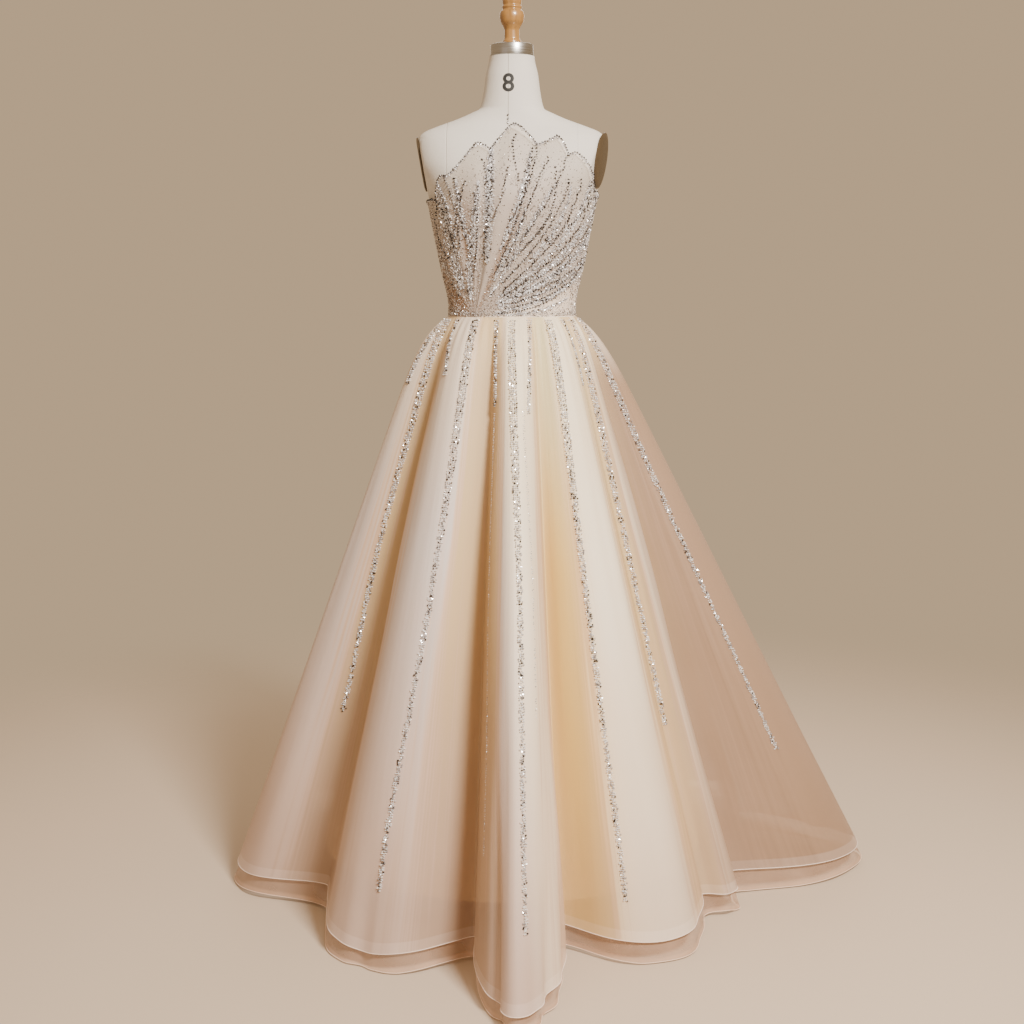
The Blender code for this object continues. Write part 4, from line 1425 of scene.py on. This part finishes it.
def bodice_marks(start, end, low, edge):
    """Marks of a bodice piece between two angles. Past the side seams they fade to a plain back."""

    def at_seam(across, down):
        degrees = blend(start, end, across)
        point = form_point(np.clip(degrees, -90, 90), blend(low, edge(degrees), down))
        return point, soft_step(90, 130, np.abs(degrees))

    def fold(across, down):
        point, behind = at_seam(across, down)
        return blend(np.clip(fan_relief(point) / 0.0040, 0, 1), 0.8, behind)

    def rise(across, down):
        return down * blend(1.0, 0.6, at_seam(across, down)[1])

    def shade(across, down):
        point, behind = at_seam(across, down)
        return blend(bodice_shade(*fan_place(point)), 0.1, behind)

    def sheer(across, down):
        point, behind = at_seam(across, down)
        lean, reach = fan_place(point)
        return soft_step(62, 78, lean + 60 * np.maximum(0, reach - 0.18)) * 0.85 * (1 - behind)

    return {"fold": fold, "rise": rise, "shade": shade, "sheer": sheer}


class GOWN_OT_bodice(bpy.types.Operator):
    """Builds the bodice's fanned front and plain back, with their rolled edges"""

    bl_idname = "gown.bodice"
    bl_label = "Bodice"

    def execute(self, context):
        finish = bodice_finish(context.scene.gown)
        low = WAIST + 2 * SEAM_GAP

        def front(across, down):
            degrees = blend(-90, 90, across)
            return bodice_cloth(degrees, blend(low, petal_edge(degrees), down))

        cloth = cloth_grid(
            "bodice_front_cloth",
            360,
            140,
            front,
            finish,
            marks=bodice_marks(-90, 90, low, petal_edge),
            size=(0.42, 0.34),
        )
        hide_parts("bodice_front")
        degrees = np.linspace(-90, 90, 361)
        rolls = [self.roll("bodice_front_edge", degrees, petal_edge(degrees), bodice_cloth, finish)]
        for label, start, end in (("right", 90, 180), ("left", -180, -90)):

            def back(across, down, start=start, end=end):
                degrees = blend(start, end, across)
                return back_cloth(degrees, blend(low, back_edge(degrees), down))

            half = cloth_grid(
                f"bodice_back_{label}_cloth",
                70,
                60,
                back,
                finish,
                marks=bodice_marks(start, end, low, back_edge),
                size=(0.21, 0.23),
            )
            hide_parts(f"bodice_back_{label}")
            degrees = np.linspace(start, end, 91)
            roll = self.roll(f"bodice_back_{label}_edge", degrees, back_edge(degrees), back_cloth, finish)
        return {"FINISHED"}

    def roll(self, name, degrees, z, surface, finish):
        outward = form_normal(degrees, z)
        return edge_roll(name, surface(degrees, z), outward, TOP_ROLL_RADIUS, 6, finish, False)


def skirt_shade(place, down):
    """How dark the cloth's own shadows are. They fade out at the waist."""
    depth = np.zeros_like(place)
    for middle, amount, half_width in OWN_SHADOWS:
        depth = np.maximum(depth, amount * np.exp(-((round_away(place, middle) / half_width) ** 2)))
    return depth * soft_step(0.01, 0.13, down)


def skirt_ridge(place, down):
    """How far the cloth counts as a ridge for its colour and cover: less beside the deep valleys, where the
    turns paint shade.
    """
    ridge = fold_values(place)["ridge"]
    for turn in SHADED_TURNS:
        near = np.exp(-((round_away(place, turn.place) / turn.half_width) ** 2))
        ridge = ridge - near * blend(turn.high, turn.low, soft_step(0.05, 0.60, down))
    return np.clip(ridge, 0, 1)


def skirt_gold_and_light(place, down):
    """How much gold shows, partly painted light: bright in a stretch of the front, fainter behind, and less
    near the hem.
    """
    total = np.zeros_like(place)
    for middle, amount, half_width in LIT_GOLD_STRETCHES:
        total += amount * np.exp(-(((place - middle) / half_width) ** 2))
    return np.clip(total, 0, 1) * (1 - 0.35 * soft_step(0.70, 1.0, down))


def skirt_warmth_and_light(place, down):
    """How creamy and bright the ridges are, partly painted light where the key light falls: cool at the
    front's -X side and at +X, warm between them and at the back.
    """
    front = soft_step(blend(4.1, 5.0, down), blend(4.9, 5.6, down), place) * (1 - soft_step(8.6, 10.0, place))
    back = 0.55 * soft_step(11.8, 13.0, place) * (1 - soft_step(19.0, 20.0, place))
    return np.maximum(front, back)


class GOWN_OT_skirt(bpy.types.Operator):
    """Builds the skirt's sheer overlay, net underlayer and satin lining, with their hems"""

    bl_idname = "gown.skirt"
    bl_label = "Skirt"

    def execute(self, context):
        colours = context.scene.gown

        def round_skirt(surface):
            return lambda across, down: surface(across * FOLDS, down)

        overlay = cloth_grid(
            "overlay_cloth",
            520,
            150,
            round_skirt(overlay_cloth),
            overlay_finish(colours),
            closed=True,
            marks={
                "ridge": round_skirt(skirt_ridge),
                "drop": lambda across, down: down,
                "shade": round_skirt(skirt_shade),
                "warm": round_skirt(skirt_warmth_and_light),
                "gold": round_skirt(skirt_gold_and_light),
            },
            size=(5.0, 1.15),
        )
        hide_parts(*[f"skirt_overlay_{number:02d}" for number in range(1, 11)])
        thread = (0.84, 0.70, 0.62)
        hem = self.hem_roll(
            "overlay_hem", overlay_cloth, np.ones_like, OVERLAY_HEM_RADIUS, "hem_thread", thread
        )
        seam = self.waist_roll()
        net = cloth_grid(
            "underlayer_cloth",
            420,
            90,
            round_skirt(lambda place, down: underlayer_cloth(place, down * underlayer_reach(place))),
            net_finish(colours),
            closed=True,
            marks={"drop": lambda across, down: down},
            size=(5.0, 1.2),
        )
        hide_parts(*[f"skirt_underlayer_{number:02d}" for number in range(1, 6)])
        thread = (0.86, 0.66, 0.52)
        edge = self.hem_roll(
            "underlayer_hem", underlayer_cloth, underlayer_reach, NET_HEM_RADIUS, "net_edge", thread
        )
        satin = cloth_grid(
            "lining_cloth",
            220,
            60,
            round_skirt(lining_cloth),
            lining_finish(colours),
            closed=True,
            size=(2.2, 1.1),
        )
        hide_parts(*[f"skirt_lining_{number:02d}" for number in range(1, 5)])
        return {"FINISHED"}

    def hem_roll(self, name, surface, reach, radius, finish_name, colour):
        """A rolled and stitched hem along the cloth's lower edge."""
        finish, tree, shader = new_finish(finish_name, colour, 0.55)
        lighter = tuple(min(1.0, channel * 1.15) for channel in colour)
        tint(tree, shader, object_place(tree), 260.0, 2.0, colour, lighter)
        place = np.linspace(0, FOLDS, 900, endpoint=False)
        point, _, normal = frame_of(surface, place, reach(place))
        point[:, 2] = np.maximum(point[:, 2], HEM_ROLL_LOWEST)
        return edge_roll(name, point, normal, radius, 6, finish, True)

    def waist_roll(self):
        """The folded seam where the skirt is set to the bodice."""
        finish, tree, shader = new_finish("waist_seam", (0.92, 0.84, 0.70), 0.6)
        tint(tree, shader, object_place(tree), 90.0, 3.0, (0.86, 0.76, 0.62), (0.96, 0.90, 0.80))
        degrees = np.linspace(-180, 180, 300, endpoint=False)
        point = waist_point(degrees, SEAM_ROLL_OUT)
        outward = point * np.array([1, 1, 0])
        return edge_roll("waist_seam_roll", point, outward, SEAM_ROLL_RADIUS, 8, finish, True)


def line_beads(settings, chance):
    """Places, sizes and tones of the beads in the skirt's lines: broad at the waist, thinner below."""
    places = []
    tones = []
    sizes = []
    for line in BEAD_LINES:
        count = int((line.end - line.start) * 1.2 / settings.bead_spacing)
        share = (np.arange(count) + 0.5) / count
        faint = line.columns == FAINT_COLUMNS
        out = settings.bead_radius * (FAINT_OUT if faint else 0.6)
        radius = settings.bead_radius * (FAINT_SIZE if faint else 1.0)
        turns = np.array([line.high, line.middle, line.low])
        for row in range(line.columns):
            t = np.maximum(blend(line.start, line.end, share) + chance.normal(0, 0.0005, count), 0.003)
            place = smooth_curve(np.array([0.0, 0.5, 1.0]), turns, share)
            point, across, normal = frame_of(overlay_cloth, place, t)
            lower = soft_step(0.05, 0.55, t)
            spread = settings.row_spacing * blend(1.25, 0.85, lower)
            aside = (row - (line.columns - 1) / 2) * spread + chance.normal(0, 0.0006, count)
            outer = row in (0, line.columns - 1)
            keep = chance.random(count) > (0.40 if outer else 0.03) * lower
            dark = chance.random(count) < DARK_SHARE * (not faint)
            places.append((point + across * aside[:, None] + normal * out)[keep])
            tones.append(np.where(dark, 0.0, chance.uniform(*LINE_TONES, count).clip(0, 1))[keep])
            sizes.append((radius * chance.uniform(0.8, 1.2, count))[keep])
    return np.concatenate(places), np.concatenate(sizes), np.concatenate(tones)


def on_bodice(lean, reach, out):
    """Places on the front by lean and reach from the gather; which lie on the cloth, and how high up it."""
    x = GATHER_X + reach * np.sin(np.radians(lean))
    z = WAIST + reach * np.cos(np.radians(lean))
    limit = form_size("half_width", z) * 0.985
    degrees = form_degrees(np.clip(x, -limit, limit), z)
    top = petal_edge(degrees)
    keep = (np.abs(x) < limit) & (z > WAIST + 0.003) & (z < top - 0.001)
    return sewn_on(bodice_cloth, degrees, z, out), keep, (z - WAIST) / (top - WAIST)


def row_path(row, share):
    lean = blend(row.low_lean, row.high_lean, share) + row.bow * 4 * share * (1 - share)
    return lean, blend(row.start, row.end, share)


def cluster_path(cluster, count, chance):
    """Chance places in a cluster: closest along its middle, narrow at both ends."""
    share = chance.random(count)
    lean, reach = row_path(cluster, share)
    width = cluster.width * np.sin(np.pi * np.clip(share * 0.9 + 0.06, 0, 1)) ** 0.7
    aside = np.clip(chance.normal(0, 0.30, count), -0.6, 0.6) * width
    return lean + np.degrees(aside / np.maximum(reach, 0.03)), reach


def notch_strands():
    """Rows that run on from each notch of the top edge towards the gather."""
    strands = []
    for notch, share in zip(NOTCHES[1:-1], STRAND_REACH):
        lean, reach = fan_place(form_point(notch.degrees, notch.z))
        strands.append(BeadRow(float(lean) + 1, float(lean), float(reach) * share, float(reach), 1.5))
    return strands


def mixed_tones(count, dark_share, chance):
    """Chance tones for beads, a share of them dark."""
    dark = chance.random(count) < dark_share
    return np.where(dark, 0.0, chance.uniform(*BODICE_TONES, count).clip(0, 1))


def edge_degrees(spacing):
    """Angles that stand evenly spaced along the front's top edge."""
    fine = np.linspace(-89, 89, 2400)
    steps = np.linalg.norm(np.diff(bodice_cloth(fine, petal_edge(fine)), axis=0), axis=1)
    length = np.concatenate([[0.0], np.cumsum(steps)])
    return np.interp(np.arange(spacing / 2, length[-1], spacing), length, fine)


class GOWN_OT_skirt_beads(bpy.types.Operator):
    """Sews the lines of beads down the skirt, front and back"""

    bl_idname = "gown.skirt_beads"
    bl_label = "Skirt Beads"

    def execute(self, context):
        settings = context.scene.gown
        chance = np.random.default_rng(11)
        finish = bead_finish("bead_silver", BEAD_DARK, BEAD_GREY, BEAD_BRIGHT, 0.20, 0.4)
        places, sizes, tones = line_beads(settings, chance)
        sew_beads("skirt_beads", "crystal", places, sizes, tones, finish, 12)
        return {"FINISHED"}


class GOWN_OT_bodice_beads(bpy.types.Operator):
    """Sews the fan of beads on the bodice: petal edges, dark rows, clusters and loose seeds"""

    bl_idname = "gown.bodice_beads"
    bl_label = "Bodice Beads"

    def execute(self, context):
        rows = DARK_ROWS + tuple(notch_strands())
        self.dark_beads(rows)
        self.silver_beads(rows)
        self.ground_seeds()
        return {"FINISHED"}

    def dark_beads(self, rows):
        """Long dark beads in rows, along the top edge and here and there in the clusters."""
        chance = np.random.default_rng(21)
        tones = (0.006, 0.005, 0.005), (0.035, 0.03, 0.03), (0.16, 0.14, 0.13)
        finish = bead_finish("bead_dark", *tones, 0.2, 0.2)
        places = []
        for row in rows:
            count = int((row.end - row.start) / DARK_STEP)
            lean, reach = row_path(row, (np.arange(count) + 0.5) / count)
            point, keep, _ = on_bodice(lean + chance.normal(0, 0.25, count), reach, DARK_OUT)
            places.append(point[keep])
        for cluster in CLUSTERS:
            lean, reach = cluster_path(cluster, cluster.beads // DARK_IN_CLUSTERS, chance)
            point, keep, _ = on_bodice(lean, reach, DARK_CLUSTER_OUT)
            places.append(point[keep])
        degrees = edge_degrees(DARK_EDGE_STEP)
        z = petal_edge(degrees) + chance.normal(0, 0.0006, len(degrees))
        places.append(sewn_on(bodice_cloth, degrees, z, DARK_EDGE_OUT))
        z = np.array(TOP_STRAND_Z)
        degrees = form_degrees(np.full(len(z), TOP_STRAND_X), z)
        places.append(sewn_on(form_point, degrees, z, TOP_STRAND_OUT))
        places = np.concatenate(places)
        sizes = DARK_RADIUS * chance.uniform(0.75, 1.15, len(places))
        sew_beads("bodice_dark_beads", "drop", places, sizes, chance.random(len(places)), finish, 22)

    def silver_beads(self, rows):
        """Silver beads in the clusters, beside the dark rows and along the edges."""
        chance = np.random.default_rng(31)
        finish = bead_finish("seed_silver", BEAD_DARK, BEAD_GREY, BEAD_BRIGHT, 0.22, 0.28)
        places = []
        sizes = []
        for cluster in CLUSTERS:
            lean, reach = cluster_path(cluster, cluster.beads, chance)
            point, keep, _ = on_bodice(lean, reach, CLUSTER_OUT)
            places.append(point[keep])
            sizes.append(CLUSTER_RADIUS * chance.uniform(0.7, 1.2, keep.sum()))
        for row in rows:
            count = int((row.end - row.start) / ROW_STEP)
            lean, reach = row_path(row, (np.arange(count) + 0.5) / count)
            point, keep, _ = on_bodice(lean + chance.normal(0, 0.7, count), reach, ROW_OUT)
            places.append(point[keep])
            sizes.append(ROW_RADIUS * chance.uniform(0.7, 1.2, keep.sum()))
        degrees = np.repeat(edge_degrees(EDGE_STEP), 2)
        z = petal_edge(degrees) - np.abs(chance.normal(0, 0.0022, len(degrees)))
        places.append(sewn_on(bodice_cloth, degrees, z, EDGE_OUT))
        sizes.append(EDGE_RADIUS * chance.uniform(0.7, 1.2, len(degrees)))
        edge = np.concatenate([np.linspace(-180, -90, 90), np.linspace(90, 180, 90)])
        places.append(sewn_on(back_cloth, edge, back_edge(edge), BACK_EDGE_OUT))
        sizes.append(np.full(len(edge), BACK_EDGE_RADIUS))
        places = np.concatenate(places)
        bright = chance.random(len(places)) < BRIGHT_SHARE
        sizes = np.concatenate(sizes) * np.where(bright, BRIGHT_SIZE, 1.0)
        tones = mixed_tones(len(places), SILVER_DARK_SHARE, chance)
        sew_beads("bodice_silver_beads", "crystal", places, sizes, np.where(bright, 1.0, tones), finish, 32)

    def ground_seeds(self):
        """Tiny seeds over the cloth: thinner in the petals and on the smooth fold, close at the sides."""
        chance = np.random.default_rng(41)
        tones = (0.10, 0.07, 0.06), (0.36, 0.31, 0.28), (0.86, 0.81, 0.77)
        finish = bead_finish("seed_ground", *tones, 0.25, 0.3)
        places = []
        lean = chance.uniform(-80, 89, LOOSE_SEEDS)
        reach = np.sqrt(chance.random(LOOSE_SEEDS)) * 0.37
        point, keep, rise = on_bodice(lean, reach, SEED_OUT)
        smooth_fold = (np.abs(lean - 14) < 5) & (reach < 0.26)
        keep &= chance.random(LOOSE_SEEDS) > np.where(smooth_fold, 0.90, 0.80 * soft_step(0.62, 0.92, rise))
        places.append(point[keep])
        side = np.concatenate([chance.uniform(-90, -58, SIDE_SEEDS), chance.uniform(60, 90, SIDE_SEEDS)])
        z = blend(WAIST + 0.004, petal_edge(side) - 0.002, chance.random(len(side)))
        places.append(sewn_on(bodice_cloth, side, z, SEED_OUT))
        back = np.concatenate([chance.uniform(-180, -90, BACK_SEEDS), chance.uniform(90, 180, BACK_SEEDS)])
        z = blend(WAIST + 0.004, back_edge(back) - 0.003, chance.random(len(back)))
        places.append(sewn_on(back_cloth, back, z, SEED_OUT))
        waist = blend(-90, 90, chance.random(WAIST_SEEDS) ** 1.3)
        z = WAIST + 0.002 + np.abs(chance.normal(0, 0.006, WAIST_SEEDS))
        places.append(sewn_on(bodice_cloth, waist, z, SEED_OUT))
        places = np.concatenate(places)
        tones = mixed_tones(len(places), SEED_DARK_SHARE, chance)
        sizes = SEED_RADIUS * chance.uniform(0.7, 1.25, len(places))
        sew_beads("bodice_seed_beads", "crystal", places, sizes, tones, finish, 42)


class GOWN_OT_stage(bpy.types.Operator):
    """Sets the plain floor, the soft studio light and the camera"""

    bl_idname = "gown.stage"
    bl_label = "Stage, Light and Camera"

    def execute(self, context):
        settings = context.scene.gown
        shape = bmesh.new()
        bmesh.ops.create_circle(
            shape, cap_ends=True, cap_tris=True, segments=ROUND_STEPS, radius=FLOOR_RADIUS
        )
        mesh = bpy.data.meshes.new("floor")
        shape.to_mesh(mesh)
        shape.free()
        finish, tree, shader = new_finish("plain_floor", tuple(settings.floor), 0.8)
        length = tree.nodes.new("ShaderNodeVectorMath")
        length.operation = "LENGTH"
        tree.links.new(object_place(tree), length.inputs[0])
        tree.links.new(ramp(tree, length.outputs["Value"], *FLOOR_FADE, 1.0, 0.0), shader.inputs["Alpha"])
        mesh.materials.append(finish)
        linked("floor", mesh)

        world = bpy.data.worlds.new("surround")
        world.use_nodes = True
        background = world.node_tree.nodes["Background"]
        background.inputs["Color"].default_value = (*settings.wall, 1.0)
        background.inputs["Strength"].default_value = 1.0
        context.scene.world = world

        for lamp in LIGHTS:
            self.add_light(lamp)

        camera = bpy.data.cameras.new("camera")
        camera.lens = CAMERA_LENS
        camera.sensor_width = CAMERA_SENSOR
        holder = linked("camera", camera)
        holder.location = CAMERA_PLACE
        holder.rotation_euler = (math.radians(CAMERA_TILT), 0.0, 0.0)
        context.scene.camera = holder
        return {"FINISHED"}

    def add_light(self, lamp):
        light = bpy.data.lights.new(lamp.name, "AREA")
        light.size = lamp.size
        light.energy = lamp.power
        light.color = lamp.colour
        holder = linked(lamp.name, light)
        holder.location = lamp.place
        aim = Vector((0.0, 0.0, LIGHTS_AIM)) - Vector(lamp.place)
        holder.rotation_euler = aim.to_track_quat("-Z", "Y").to_euler()


class GOWN_PT_panel(bpy.types.Panel):
    """Lists the gown's steps in the order that they are built"""

    bl_idname = "GOWN_PT_panel"
    bl_label = "Gown"
    bl_space_type = "VIEW_3D"
    bl_region_type = "UI"
    bl_category = "Gown"

    def draw(self, context):
        for step in STEPS:
            self.layout.operator(step.bl_idname)
        settings = context.scene.gown
        for name in GownSettings.__annotations__:
            self.layout.prop(settings, name)


STEPS = (
    GOWN_OT_stage,
    GOWN_OT_form,
    GOWN_OT_fittings,
    GOWN_OT_bodice,
    GOWN_OT_skirt,
    GOWN_OT_skirt_beads,
    GOWN_OT_bodice_beads,
)
CLASSES = (GownSettings, *STEPS, GOWN_PT_panel)


def register():
    for made in CLASSES:
        bpy.utils.register_class(made)
    bpy.types.Scene.gown = bpy.props.PointerProperty(type=GownSettings)


def unregister():
    del bpy.types.Scene.gown
    for made in reversed(CLASSES):
        bpy.utils.unregister_class(made)


def main():
    register()
    bpy.ops.gown.stage()
    bpy.ops.gown.form()
    bpy.ops.gown.fittings()
    bpy.ops.gown.bodice()
    bpy.ops.gown.skirt()
    bpy.ops.gown.skirt_beads()
    bpy.ops.gown.bodice_beads()


if __name__ == "__main__":
    main()
